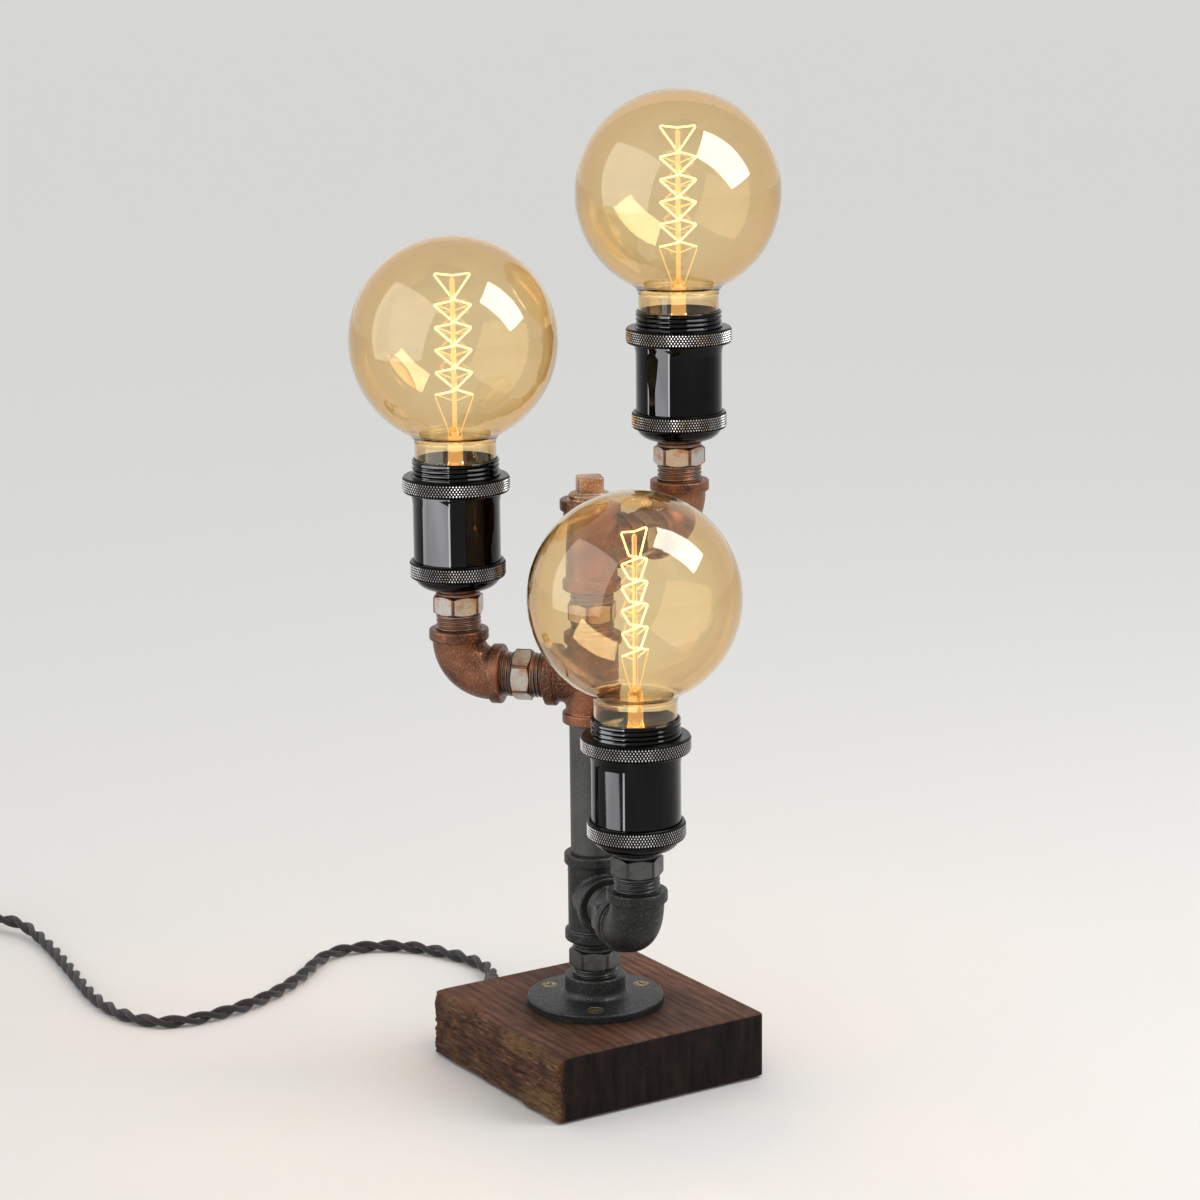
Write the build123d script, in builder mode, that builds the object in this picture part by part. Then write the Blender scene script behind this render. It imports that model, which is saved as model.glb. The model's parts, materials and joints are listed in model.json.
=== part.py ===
"""Table lamp made of half-inch pipe fittings on a wooden block, with three globe bulbs.

The origin is at the middle of the underside, +Z is up and the block's sides are parallel to X and Y.
Millimetres throughout. Each arm has a frame of its own: X points away from the stem, Y points up,
and the origin is where the arm's level axis meets its upright axis.
"""

import math
import os

from build123d import *

os.makedirs("parts", exist_ok=True)

# ---------------------------------------------------------------- driving dimensions
# Base
block_side = 114.0
block_height = 30.0
block_corner = 3.0
block_edge = 1.2
pad_height = 1.5
pad_inset = 4.0
pad_corner = 6.0
recess_radius = 27.0
recess_depth = 17.0
stem_hole_radius = 8.5

# Floor flange and its screws
flange_radius = 32.0
flange_rim = 4.2
flange_slope = 1.0
flange_height = 14.7
hub_radius = 14.2
hub_fillet = 3.0
screw_circle_radius = 25.0
screw_count = 3
first_screw_angle = 238.0
screw_hole_radius = 2.2
screw_head_radius = 3.7
screw_head_height = 2.2
screw_shank_radius = 1.7
screw_length = 16.0
screw_seat_clearance = 0.1
screw_seat_share = 0.4
slot_length = 4.44
slot_width = 0.9
slot_depth = 0.8

# Half-inch malleable iron fittings
thread_radius = 10.4
thread_root_radius = 9.45
thread_pitch = 1.814
thread_clearance = 0.07
thread_depth = 10.0
fitting_reach = 21.0
fitting_radius = 12.2
branch_radius = 11.9
band_radius = 13.8
band_length = 5.2
band_edge = 0.9
passage_radius = 8.6
cast_fillet = 2.0
elbow_bend = 15.6
ridge_rise_share = 0.4

# Hex nipples
hex_across_flats = 21.2
hex_length = 8.8
hex_chamfer_share = 0.6
hex_root_overlap = 0.5
base_hex_turn = 238.0
link_hex_turn = 258.0
HOLDER_HEX_TURNS = {"lower": 246.0, "middle": 258.0, "upper": 231.0}
nipple_bore_radius = 7.9
nipple_engaged = 8.0
base_thread_below = 3.7
base_thread_above = 4.5
arm_thread_difference = 1.1
link_thread = 5.85
holder_thread_below = 7.2
holder_thread_above = 2.9
holder_engaged = 5.4

# Riser pipe and the plug on top
riser_exposed = 62.2
riser_radius = 10.65
riser_bore_radius = 8.1
riser_edge = 0.4
plug_collar_radius = 9.7
plug_collar_height = 2.8
plug_head_side = 11.8
plug_head_height = 7.6
plug_head_round = 2.2
plug_head_turn = 246.0
plug_edge = 0.8

# Lampholder, heights above the arm's level axis
cap_wall = 1.4
cap_boss_radius = 12.6
cap_boss_height = 3.2
cap_dome_height = 5.6
cap_dome_inset = 1.9
cap_dome_share = 0.45
cap_ledge_width = 2.4
cap_floor_flare = 1.0
clamp_ring_height = 7.8
clamp_ring_wall = 2.1
shell_radius = 20.05
shell_wall = 1.1
shell_length = 51.0
shell_flare = 0.9
shell_flare_height = 5.0
shell_flare_bend = (0.3, 0.45)
shell_flare_lip = 0.5
collar_height = 15.1
collar_pitch = 2.1
collar_ridge = 0.5
collar_edge = 0.6
shade_ring_wall = 4.57
shade_ring_height = 7.3
ring_chamfer = 0.7
ring_clearance = 0.08
insert_gap = 1.75
insert_flange_gap = 0.15
insert_flange_height = 3.0
insert_floor = 15.4
insert_height = 43.0
insert_edge = 0.8
contact_wall = 0.5
contact_clearance = 0.3
contact_groove = 1.1
contact_height = 26.6
contact_ridge_foot = 0.5
contact_groove_foot = 0.7
tongue_radius = 3.2
tongue_height = 2.6
tongue_taper = 0.6

# Globe bulb, 95 mm across
globe_radius = 47.5
globe_to_stem = 1.2
glass_wall = 0.8
glass_seat_clearance = 0.2
glass_shoulder_share = 0.4
neck_clearance = 0.35
neck_length = 43.0
neck_blend = 6.0
cap_crest_radius = 13.1
cap_root_radius = 12.3
cap_crest_round = 0.15
cap_pitch = 3.62
cap_turns = 5
cap_skirt = 2.6
cap_skirt_slope = 0.8
cap_taper_height = 4.2
cap_floor_wall = 1.0
tip_radius = 4.6
tip_flat_radius = 3.68
tip_height = 0.9
tongue_gap = 0.3
glass_overlap = 3.0
mount_rim_height = 1.2
mount_shoulder = 1.2
mount_shoulder_height = 6.0
mount_stem_radius = 3.4
mount_stem_height = 24.0
mount_pinch_taper = 4.0
mount_rod_radius = 1.1
rod_gap = 0.3
filament_radius = 8.6
filament_wire_radius = 0.4
filament_bend = 0.64
filament_cells = 5
filament_pitch = 10.3
filament_below_centre = 25.0
filament_top_height = 30.5
filament_top_sag = 1.0
filament_crossing_radius = 3.2
filament_crossing_rise = 2.2
filament_sides = {"lower": 15.0, "middle": 328.0, "upper": 328.0}
hook_radius = 0.3
hook_gap = 0.9
hook_drop = 3.0
lead_radius = 0.3
lead_foot_radius = 1.8
lead_depth = 1.0

# Wiring
wire_radius = 2.2
wire_bend = 9.0
wire_gap = 0.4
terminal_size = (22.0, 16.0, 15.0)
terminal_corner = 1.5
terminal_screw_radius = 1.6
terminal_screw_depth = 3.0

# Arms: the height of each tee follows from the fittings; the directions are given here
lower_direction = 256.0
middle_direction = 136.0
upper_direction = 16.0

# Cord, its grommet, in-line switch and plug
cord_radius = 3.2
cord_exit_height = 12.0
gland_flange_radius = 7.5
gland_flange_height = 2.0
gland_flange_edge = 0.6
gland_radius = 5.6
gland_tip_radius = 4.2
gland_length = 20.0
gland_to_recess = 1.0
seat_clearance = 0.05
arc_share = 0.45
coil_turn_radius = 35.0
coil_turns_across = 3
coil_layers = 2
coil_rounding = 0.9
switch_length = 58.0
switch_width = 28.0
switch_height = 18.0
switch_split = 8.0
switch_corner = 6.0
switch_edge = 1.5
switch_bore_clearance = 0.7
rocker_length = 20.0
rocker_width = 11.0
rocker_depth = 5.0
rocker_rise = 1.6
rocker_dip = 0.9
rocker_end_inset = 0.6
rocker_skirt = 0.6
rocker_belly_rise = 1.0
rocker_angle = 10.0
rocker_clearance = 0.5
rocker_room = 0.4
mains_plug_length = 36.0
mains_plug_width = 35.0
mains_plug_neck_width = 25.2
mains_plug_thickness = 13.7
mains_plug_sleeve = 15.0
mains_plug_sleeve_wall = 0.8
mains_plug_sleeve_radius = 5.0
mains_plug_sleeve_overlap = 1.0
mains_plug_corner = 5.0
pin_radius = 2.0
pin_tip = 1.2
pin_length = 19.0
pin_spacing = 18.6
pin_seat = 8.0
tail_angle = 195.0
tail_free = 12.0

# ---------------------------------------------------------------- places that follow
block_top = pad_height + block_height
flange_top = block_top + flange_height
screw_seat = block_top + flange_rim + flange_slope * screw_seat_share
bore_radius = thread_radius + thread_clearance
base_exposed = base_thread_below + hex_length + base_thread_above
link_exposed = 2 * link_thread + hex_length

# A globe stands just clear of the stem's bands, and the level nipple's threads make up the arm's length.
arm_length = band_radius + globe_to_stem + globe_radius
arm_thread_outer = (arm_length - 2 * fitting_reach - hex_length - arm_thread_difference) / 2
arm_thread_inner = arm_thread_outer + arm_thread_difference

lower_height = flange_top + base_exposed + fitting_reach
middle_height = lower_height + 2 * fitting_reach + riser_exposed
upper_height = middle_height + 2 * fitting_reach + link_exposed

# Radii of the lampholder's pieces, from the shell outwards and inwards
shell_inner_radius = shell_radius - shell_wall
clamp_ring_inner_radius = shell_radius + seat_clearance
clamp_ring_radius = clamp_ring_inner_radius + clamp_ring_wall
shade_ring_inner_radius = shell_radius + ring_clearance
shade_ring_radius = shade_ring_inner_radius + shade_ring_wall
cap_rim_inner_radius = shell_radius - cap_wall
insert_flange_radius = cap_rim_inner_radius - insert_flange_gap
insert_radius = shell_inner_radius - insert_gap
contact_inner_radius = cap_crest_radius + contact_clearance
insert_bore_radius = contact_inner_radius + contact_groove
neck_radius = shell_inner_radius - neck_clearance

cap_bottom = fitting_reach + holder_thread_below + hex_length + holder_thread_above
clamp_ring_bottom = cap_bottom + cap_dome_height
shell_bottom = clamp_ring_bottom + clamp_ring_height / 2
mouth_height = shell_bottom + shell_length
shade_ring_bottom = mouth_height - collar_height
insert_bottom = cap_bottom + holder_engaged + wire_gap
bulb_bottom = insert_bottom + insert_floor + tongue_height + tongue_gap
globe_centre = bulb_bottom + neck_length + globe_radius
cap_top = bulb_bottom + tip_height + cap_taper_height + cap_turns * cap_pitch + cap_skirt

ARMS = {
    "lower": (lower_direction, lower_height),
    "middle": (middle_direction, middle_height),
    "upper": (upper_direction, upper_height),
}


# ---------------------------------------------------------------- frames and shared shapes
def level_direction(direction):
    return (math.cos(math.radians(direction)), math.sin(math.radians(direction)), 0)


def arm_frame(direction, height, along=arm_length):
    """The upright plane of an arm: X away from the stem, Y up."""
    outward = Vector(*level_direction(direction))
    origin = outward * along + Vector(0, 0, height)
    return Plane(origin=origin, x_dir=outward, z_dir=outward.cross(Vector(0, 0, 1)))


def turned(frame, outline):
    """A solid of revolution about the frame's Y axis, from (radius, height) points."""
    with BuildPart() as piece:
        with BuildSketch(frame):
            with BuildLine():
                Polyline(*outline, close=True)
            make_face()
        revolve(axis=Axis(frame.origin, frame.y_dir))
    return piece.part


def ridges(start, end, pitch, crest, root):
    """(radius, height) points of a screw thread's ridges from start up to end."""
    turns = max(1, round((end - start) / pitch))
    step = (end - start) / turns
    points = []
    for turn in range(turns):
        foot = start + turn * step
        rise = ridge_rise_share * step
        points += [(root, foot), (crest, foot + rise), (crest, foot + step - rise)]
    return points + [(root, end)]


def circles_of(builder, radius):
    """The circular edges of that radius in what a builder holds so far."""
    return builder.edges().filter_by(
        lambda edge: edge.geom_type == GeomType.CIRCLE and math.isclose(edge.radius, radius, abs_tol=1e-4)
    )


def save(piece, name):
    piece.label = name
    export_step(piece, f"parts/{name}.step")


def group(solids, name):
    """Several like pieces in one node."""
    save(Compound(children=list(solids)), name)


def hex_nipple(frame, below, above, engaged_below=nipple_engaged, engaged_above=nipple_engaged):
    """Hex nipple about the frame's Y axis, with the hex's lower end at the frame's origin.

    below and above are the lengths of thread left showing on each side of the hex.
    """
    low, high = -below - engaged_below, hex_length + above + engaged_above
    outline = [(nipple_bore_radius, low), (thread_radius, low), (thread_radius, -below)]
    outline += ridges(-below, 0, thread_pitch, thread_radius, thread_root_radius)
    outline += ridges(hex_length, hex_length + above, thread_pitch, thread_radius, thread_root_radius)
    outline += [(thread_radius, hex_length + above), (thread_radius, high), (nipple_bore_radius, high)]
    hex_plane = Plane(origin=frame.origin, x_dir=frame.x_dir, z_dir=frame.y_dir)
    corner_radius = hex_across_flats / 2 / math.cos(math.radians(30))
    chamfer_height = (corner_radius - hex_across_flats / 2) * hex_chamfer_share
    with BuildPart() as nipple:
        with BuildSketch(frame):
            with BuildLine():
                Polyline(*outline, close=True)
            make_face()
        revolve(axis=Axis(frame.origin, frame.y_dir))
        with BuildSketch(hex_plane):
            RegularPolygon(corner_radius, 6, rotation=30)
            Circle(thread_root_radius - hex_root_overlap, mode=Mode.SUBTRACT)
        extrude(amount=hex_length)
    with BuildPart() as envelope:
        with BuildSketch(frame):
            with BuildLine():
                Polyline(
                    (0, low),
                    (thread_radius, low),
                    (thread_radius, 0),
                    (hex_across_flats / 2, 0),
                    (corner_radius, chamfer_height),
                    (corner_radius, hex_length - chamfer_height),
                    (hex_across_flats / 2, hex_length),
                    (thread_radius, hex_length),
                    (thread_radius, high),
                    (0, high),
                    close=True,
                )
            make_face()
        revolve(axis=Axis(frame.origin, frame.y_dir))
        add(nipple.part, mode=Mode.INTERSECT)
    return envelope.part


def tee(height, direction):
    """A tee whose run is the stem and whose branch points along direction."""
    centre = Vector(0, 0, height)
    outward = Vector(*level_direction(direction))
    ends = [
        Plane(origin=centre + Vector(0, 0, fitting_reach), z_dir=(0, 0, 1)),
        Plane(origin=centre - Vector(0, 0, fitting_reach), z_dir=(0, 0, -1)),
        Plane(origin=centre + outward * fitting_reach, z_dir=outward),
    ]
    with BuildPart() as body:
        with BuildSketch(ends[1]):
            Circle(fitting_radius)
        extrude(amount=-2 * fitting_reach)
        with BuildSketch(ends[2]):
            Circle(branch_radius)
        extrude(amount=-fitting_reach)
        crossing = [
            edge for edge in body.edges(Select.LAST)
            if edge.geom_type != GeomType.CIRCLE and edge.geom_type != GeomType.LINE
        ]
        fillet(crossing, cast_fillet)
        for end in ends:
            with BuildSketch(end):
                Circle(band_radius)
            extrude(amount=-band_length)
        fillet(circles_of(body, band_radius), band_edge)
        for end in ends:
            with BuildSketch(end):
                Circle(bore_radius)
            extrude(amount=-thread_depth, mode=Mode.SUBTRACT)
            with BuildSketch(end):
                Circle(passage_radius)
            extrude(amount=-fitting_reach, mode=Mode.SUBTRACT)
    return body.part


def elbow(frame):
    """A right-angle elbow: one end towards the stem, the other upwards."""
    toward_stem = Plane(
        origin=frame.from_local_coords((-fitting_reach, 0, 0)), z_dir=-frame.x_dir
    )
    upward = Plane(origin=frame.from_local_coords((0, fitting_reach, 0)), z_dir=frame.y_dir)
    with BuildPart() as body:
        with BuildLine(frame):
            path = FilletPolyline(
                (-fitting_reach, 0), (0, 0), (0, fitting_reach), radius=elbow_bend
            )
        with BuildSketch(toward_stem):
            Circle(fitting_radius)
        sweep(path=path)
        for end in (toward_stem, upward):
            with BuildSketch(end):
                Circle(band_radius)
            extrude(amount=-band_length)
        fillet(circles_of(body, band_radius), band_edge)
        with BuildSketch(toward_stem):
            Circle(passage_radius)
        sweep(path=path, mode=Mode.SUBTRACT)
        for end in (toward_stem, upward):
            with BuildSketch(end):
                Circle(bore_radius)
            extrude(amount=-thread_depth, mode=Mode.SUBTRACT)
    return body.part


# ---------------------------------------------------------------- base
exit_plane = Plane(
    origin=(0, block_side / 2, cord_exit_height), x_dir=(1, 0, 0), z_dir=(0, 1, 0)
)

with BuildPart() as wood_base:
    with BuildSketch(Plane.XY.offset(pad_height)):
        RectangleRounded(block_side, block_side, block_corner)
    extrude(amount=block_height)
    fillet(wood_base.faces().sort_by(Axis.Z)[-1].edges(), block_edge)
    with BuildSketch(Plane.XY.offset(pad_height)):
        Circle(recess_radius)
    extrude(amount=recess_depth, mode=Mode.SUBTRACT)
    with BuildSketch(Plane.XY.offset(pad_height)):
        Circle(stem_hole_radius)
    extrude(amount=block_height, mode=Mode.SUBTRACT)
    with BuildSketch(exit_plane):
        Circle(gland_radius + seat_clearance)
    extrude(amount=-(block_side / 2 - recess_radius / 2), mode=Mode.SUBTRACT)
    with BuildSketch(Plane.XY.offset(block_top)):
        with PolarLocations(screw_circle_radius, screw_count, start_angle=first_screw_angle):
            Circle(screw_shank_radius)
    extrude(amount=-(screw_length - flange_rim), mode=Mode.SUBTRACT)
save(wood_base.part, "wood_base")

with BuildPart() as base_pad:
    with BuildSketch(Plane.XY):
        pad_side = block_side - 2 * pad_inset
        RectangleRounded(pad_side, pad_side, pad_corner)
    extrude(amount=pad_height)
save(base_pad.part, "base_pad")

with BuildPart() as floor_flange:
    with BuildSketch(Plane.XZ):
        with BuildLine():
            Polyline(
                (bore_radius, block_top),
                (flange_radius, block_top),
                (flange_radius, block_top + flange_rim),
                (hub_radius, block_top + flange_rim + flange_slope),
                (hub_radius, flange_top),
                (bore_radius, flange_top),
                close=True,
            )
        make_face()
    revolve(axis=Axis.Z)
    fillet(circles_of(floor_flange, hub_radius).sort_by(Axis.Z)[0], hub_fillet)
    top_edges = [
        circles_of(floor_flange, radius).sort_by(Axis.Z)[-1] for radius in (hub_radius, flange_radius)
    ]
    fillet(top_edges, band_edge)
    with Locations(Plane.XY.offset(screw_seat)):
        with PolarLocations(screw_circle_radius, screw_count, start_angle=first_screw_angle):
            CounterSinkHole(screw_hole_radius, screw_head_radius + screw_seat_clearance)
save(floor_flange.part, "floor_flange")


def flange_screw(angle):
    """A countersunk wood screw with a crossed slot, standing in the flange."""
    x, y, _ = level_direction(angle)
    place = (x * screw_circle_radius, y * screw_circle_radius, screw_seat)
    frame = Plane(origin=place, x_dir=(1, 0, 0), z_dir=(0, -1, 0))
    outline = [
        (0, 0),
        (screw_head_radius, 0),
        (screw_shank_radius, -screw_head_height),
        (screw_shank_radius, -screw_length + screw_shank_radius * 2),
        (0, -screw_length),
    ]
    with BuildPart() as screw:
        add(turned(frame, outline))
        with BuildSketch(Plane(origin=place, x_dir=(x, y, 0), z_dir=(0, 0, 1))):
            Rectangle(slot_length, slot_width)
            Rectangle(slot_width, slot_length)
        extrude(amount=-slot_depth, mode=Mode.SUBTRACT)
    return screw.part


group(
    [flange_screw(first_screw_angle + 360 / screw_count * n) for n in range(screw_count)],
    "flange_screws",
)

# ---------------------------------------------------------------- stem
base_nipple_frame = Plane(
    origin=(0, 0, flange_top + base_thread_below),
    x_dir=level_direction(base_hex_turn),
    z_dir=Vector(*level_direction(base_hex_turn)).cross(Vector(0, 0, 1)),
)
save(hex_nipple(base_nipple_frame, base_thread_below, base_thread_above), "base_nipple")

save(tee(lower_height, lower_direction), "lower_tee")
save(tee(middle_height, middle_direction), "middle_tee")
save(tee(upper_height, upper_direction), "upper_tee")

riser_low = lower_height + fitting_reach
riser_high = middle_height - fitting_reach
with BuildPart() as riser_pipe:
    with BuildSketch(Plane.XZ):
        with BuildLine():
            Polyline(
                (riser_bore_radius, riser_low - nipple_engaged),
                (thread_radius, riser_low - nipple_engaged),
                (thread_radius, riser_low),
                (riser_radius, riser_low + riser_edge),
                (riser_radius, riser_high - riser_edge),
                (thread_radius, riser_high),
                (thread_radius, riser_high + nipple_engaged),
                (riser_bore_radius, riser_high + nipple_engaged),
                close=True,
            )
        make_face()
    revolve(axis=Axis.Z)
save(riser_pipe.part, "riser_pipe")

link_frame = Plane(
    origin=(0, 0, middle_height + fitting_reach + link_thread),
    x_dir=level_direction(link_hex_turn),
    z_dir=Vector(*level_direction(link_hex_turn)).cross(Vector(0, 0, 1)),
)
save(hex_nipple(link_frame, link_thread, link_thread), "link_nipple")

stem_top = upper_height + fitting_reach
with BuildPart() as top_plug:
    add(
        turned(
            Plane.XZ,
            [
                (0, stem_top - nipple_engaged),
                (thread_radius, stem_top - nipple_engaged),
                (thread_radius, stem_top),
                (plug_collar_radius, stem_top),
                (plug_collar_radius, stem_top + plug_collar_height - plug_edge),
                (plug_collar_radius - plug_edge, stem_top + plug_collar_height),
                (0, stem_top + plug_collar_height),
            ],
        )
    )
    with BuildSketch(Plane.XY.offset(stem_top + plug_collar_height)):
        with Locations(Rotation(0, 0, plug_head_turn)):
            RectangleRounded(plug_head_side, plug_head_side, plug_head_round)
    extrude(amount=plug_head_height)
    fillet(top_plug.faces().sort_by(Axis.Z)[-1].edges(), plug_edge)
save(top_plug.part, "top_plug")


# ---------------------------------------------------------------- arms
def nipples(direction, height, hex_turn):
    """The arm's two hex nipples: the level one by the tee and the upright one under the holder."""
    outward = Vector(*level_direction(direction))
    level_origin = outward * (fitting_reach + arm_thread_inner) + Vector(0, 0, height)
    level = Plane(
        origin=level_origin, x_dir=outward.cross(Vector(0, 0, 1)), z_dir=(0, 0, 1)
    )
    foot = arm_frame(direction, height).from_local_coords(
        (0, fitting_reach + holder_thread_below, 0)
    )
    upright = Plane(
        origin=foot,
        x_dir=level_direction(hex_turn),
        z_dir=Vector(*level_direction(hex_turn)).cross(Vector(0, 0, 1)),
    )
    return [
        hex_nipple(level, arm_thread_inner, arm_thread_outer),
        hex_nipple(
            upright, holder_thread_below, holder_thread_above, engaged_above=holder_engaged
        ),
    ]


def holder_cap(frame):
    """The domed bottom of the lampholder, threaded on its nipple."""
    rim_inner, ledge = cap_rim_inner_radius, insert_bottom
    dome_middle = (shell_radius - cap_dome_inset, cap_bottom + cap_dome_height * cap_dome_share)
    with BuildPart() as cap:
        with BuildSketch(frame):
            with BuildLine():
                Line((bore_radius, cap_bottom), (cap_boss_radius, cap_bottom))
                ThreePointArc(
                    (cap_boss_radius, cap_bottom), dome_middle, (shell_radius, clamp_ring_bottom)
                )
                Polyline(
                    (shell_radius, clamp_ring_bottom),
                    (shell_radius, shell_bottom - seat_clearance),
                    (rim_inner, shell_bottom - seat_clearance),
                    (rim_inner, ledge),
                    (rim_inner - cap_ledge_width, ledge),
                    (cap_boss_radius + cap_floor_flare, cap_bottom + cap_boss_height),
                    (bore_radius, cap_bottom + cap_boss_height),
                    (bore_radius, cap_bottom),
                )
            make_face()
        revolve(axis=Axis(frame.origin, frame.y_dir))
    return cap.part


def knurled_ring(frame, inner, outer, bottom, height):
    outline = [
        (inner, bottom),
        (outer - ring_chamfer, bottom),
        (outer, bottom + ring_chamfer),
        (outer, bottom + height - ring_chamfer),
        (outer - ring_chamfer, bottom + height),
        (inner, bottom + height),
    ]
    return turned(frame, outline)


def holder_shell(frame):
    """The tube of the lampholder, flared under the shade ring, with a threaded collar above."""
    inner = shell_inner_radius
    shoulder = shade_ring_bottom - seat_clearance
    root = shell_radius - collar_ridge
    bend_reach, bend_height = shell_flare_bend
    outline = [
        (inner, shell_bottom),
        (shell_radius, shell_bottom),
        (shell_radius, shoulder - shell_flare_height),
        (shell_radius + shell_flare * bend_reach, shoulder - shell_flare_height * bend_height),
        (shell_radius + shell_flare, shoulder - shell_flare_lip),
        (shell_radius + shell_flare, shoulder),
    ]
    outline += ridges(shoulder, mouth_height - collar_edge, collar_pitch, shell_radius, root)
    outline += [(root, mouth_height), (inner, mouth_height)]
    return turned(frame, outline)


def socket_insert(frame):
    """The porcelain cup that holds the contacts."""
    top = insert_bottom + insert_height
    outline = [
        (wire_radius + wire_gap, insert_bottom),
        (insert_flange_radius, insert_bottom),
        (insert_flange_radius, insert_bottom + insert_flange_height),
        (insert_radius, insert_bottom + insert_flange_height),
        (insert_radius, top - insert_edge),
        (insert_radius - insert_edge, top),
        (insert_bore_radius, top),
        (insert_bore_radius, insert_bottom + insert_floor),
        (0, insert_bottom + insert_floor),
        (0, insert_bottom + insert_floor / 2),
        (wire_radius + wire_gap, insert_bottom + insert_floor / 2),
    ]
    return turned(frame, outline)


def socket_contacts(frame):
    """The screw shell that takes the bulb, and the tongue under its tip."""
    bottom = insert_bottom + insert_floor
    outer = contact_inner_radius + contact_wall
    groove_top = bottom + cap_pitch
    outline = [(contact_inner_radius, bottom), (outer, bottom), (outer, groove_top)]
    inside = [(contact_inner_radius, groove_top)]
    for turn in range(cap_turns + 1):
        foot = groove_top + turn * cap_pitch
        outline += [
            (outer, foot + contact_ridge_foot),
            (insert_bore_radius - seat_clearance, foot + cap_pitch / 2),
            (outer, foot + cap_pitch - contact_ridge_foot),
        ]
        inside += [
            (contact_inner_radius, foot + contact_groove_foot),
            (insert_bore_radius - contact_wall, foot + cap_pitch / 2),
            (contact_inner_radius, foot + cap_pitch - contact_groove_foot),
        ]
    outline += [(outer, bottom + contact_height), (contact_inner_radius, bottom + contact_height)]
    screw_shell = turned(frame, outline + inside[::-1])
    tongue = turned(
        frame,
        [
            (0, bottom),
            (tongue_radius, bottom),
            (tongue_radius, bottom + tongue_height * tongue_taper),
            (tongue_radius * tongue_taper, bottom + tongue_height),
            (0, bottom + tongue_height),
        ],
    )
    return [screw_shell, tongue]


def bulb_glass(frame):
    """The blown globe with its neck, open at the bottom where the mount is sealed in."""
    bottom = cap_top - glass_overlap
    throat = cap_root_radius - contact_wall - glass_seat_clearance
    neck_start = cap_top + neck_radius - cap_crest_radius
    drop = math.sqrt((globe_radius + neck_blend) ** 2 - (neck_radius + neck_blend) ** 2)
    blend_height = globe_centre - drop
    share = globe_radius / (globe_radius + neck_blend)
    touch = ((neck_radius + neck_blend) * share, globe_centre - drop * share)
    blend_turn = math.atan2(drop, neck_radius + neck_blend) / 2
    blend_mid = (
        neck_radius + neck_blend - neck_blend * math.cos(blend_turn),
        blend_height + neck_blend * math.sin(blend_turn),
    )
    side = (globe_radius, globe_centre)
    inner_drop = math.sqrt((globe_radius - glass_wall) ** 2 - (neck_radius - glass_wall) ** 2)
    with BuildPart() as glass:
        with BuildSketch(frame):
            with BuildLine():
                Polyline((throat, bottom), (throat, cap_top), (neck_radius, neck_start))
                Line((neck_radius, neck_start), (neck_radius, blend_height))
                ThreePointArc((neck_radius, blend_height), blend_mid, touch)
                ThreePointArc(touch, side, (0, globe_centre + globe_radius))
                Line(
                    (0, globe_centre + globe_radius), (0, globe_centre + globe_radius - glass_wall)
                )
                ThreePointArc(
                    (0, globe_centre + globe_radius - glass_wall),
                    (globe_radius - glass_wall, globe_centre),
                    (neck_radius - glass_wall, globe_centre - inner_drop),
                )
                Polyline(
                    (neck_radius - glass_wall, globe_centre - inner_drop),
                    (neck_radius - glass_wall, neck_start + glass_wall * glass_shoulder_share),
                    (throat - glass_wall, cap_top + glass_wall * glass_shoulder_share),
                    (throat - glass_wall, bottom),
                    (throat, bottom),
                )
            make_face()
        revolve(axis=Axis(frame.origin, frame.y_dir))
    return glass.part


def bulb_cap(frame):
    """The screw cap: tip, taper, rolled thread and skirt."""
    tip_top = bulb_bottom + tip_height
    thread_foot = tip_top + cap_taper_height
    thread_top = thread_foot + cap_turns * cap_pitch
    inner = cap_root_radius - contact_wall
    outline = [(0, bulb_bottom), (tip_flat_radius, bulb_bottom), (tip_radius, tip_top)]
    for turn in range(cap_turns):
        foot = thread_foot + turn * cap_pitch
        outline += [
            (cap_root_radius, foot),
            (cap_crest_radius - cap_crest_round, foot + cap_pitch * 0.3),
            (cap_crest_radius, foot + cap_pitch * 0.5),
            (cap_crest_radius - cap_crest_round, foot + cap_pitch * 0.7),
        ]
    outline += [
        (cap_root_radius, thread_top),
        (cap_crest_radius, thread_top + cap_skirt_slope),
        (cap_crest_radius, cap_top),
        (inner, cap_top),
        (inner, thread_foot + cap_floor_wall),
        (0, thread_foot + cap_floor_wall),
    ]
    return turned(frame, outline)


def around(radius, angle, height):
    """A point in a frame that stands on the bulb's axis."""
    return (radius * math.cos(math.radians(angle)), radius * math.sin(math.radians(angle)), height)


def filament_side(turn):
    """One wire's corners from the bottom up: a side corner, a crossing by the rod, and so on.

    The wire changes sides from each level to the next. It runs nearly level from a side corner to the
    crossing, and climbs steeply from there to the other side.
    """
    foot = globe_centre - filament_below_centre
    corners = []
    for cell in range(filament_cells):
        angle, height = turn + 180 * cell, foot + filament_pitch * cell
        corners.append(around(filament_radius, angle, height))
        corners.append(around(filament_crossing_radius, angle + 90, height + filament_crossing_rise))
    top = around(filament_radius, turn + 180 * filament_cells, globe_centre + filament_top_height)
    return [*corners, top]


def filament_corners(turn):
    """The whole wire: up one side of the double helix, over the rod's top and down the other side."""
    over = (0, 0, globe_centre + filament_top_height - filament_top_sag)
    return [*filament_side(turn), over, *reversed(filament_side(turn + 180))]


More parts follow.
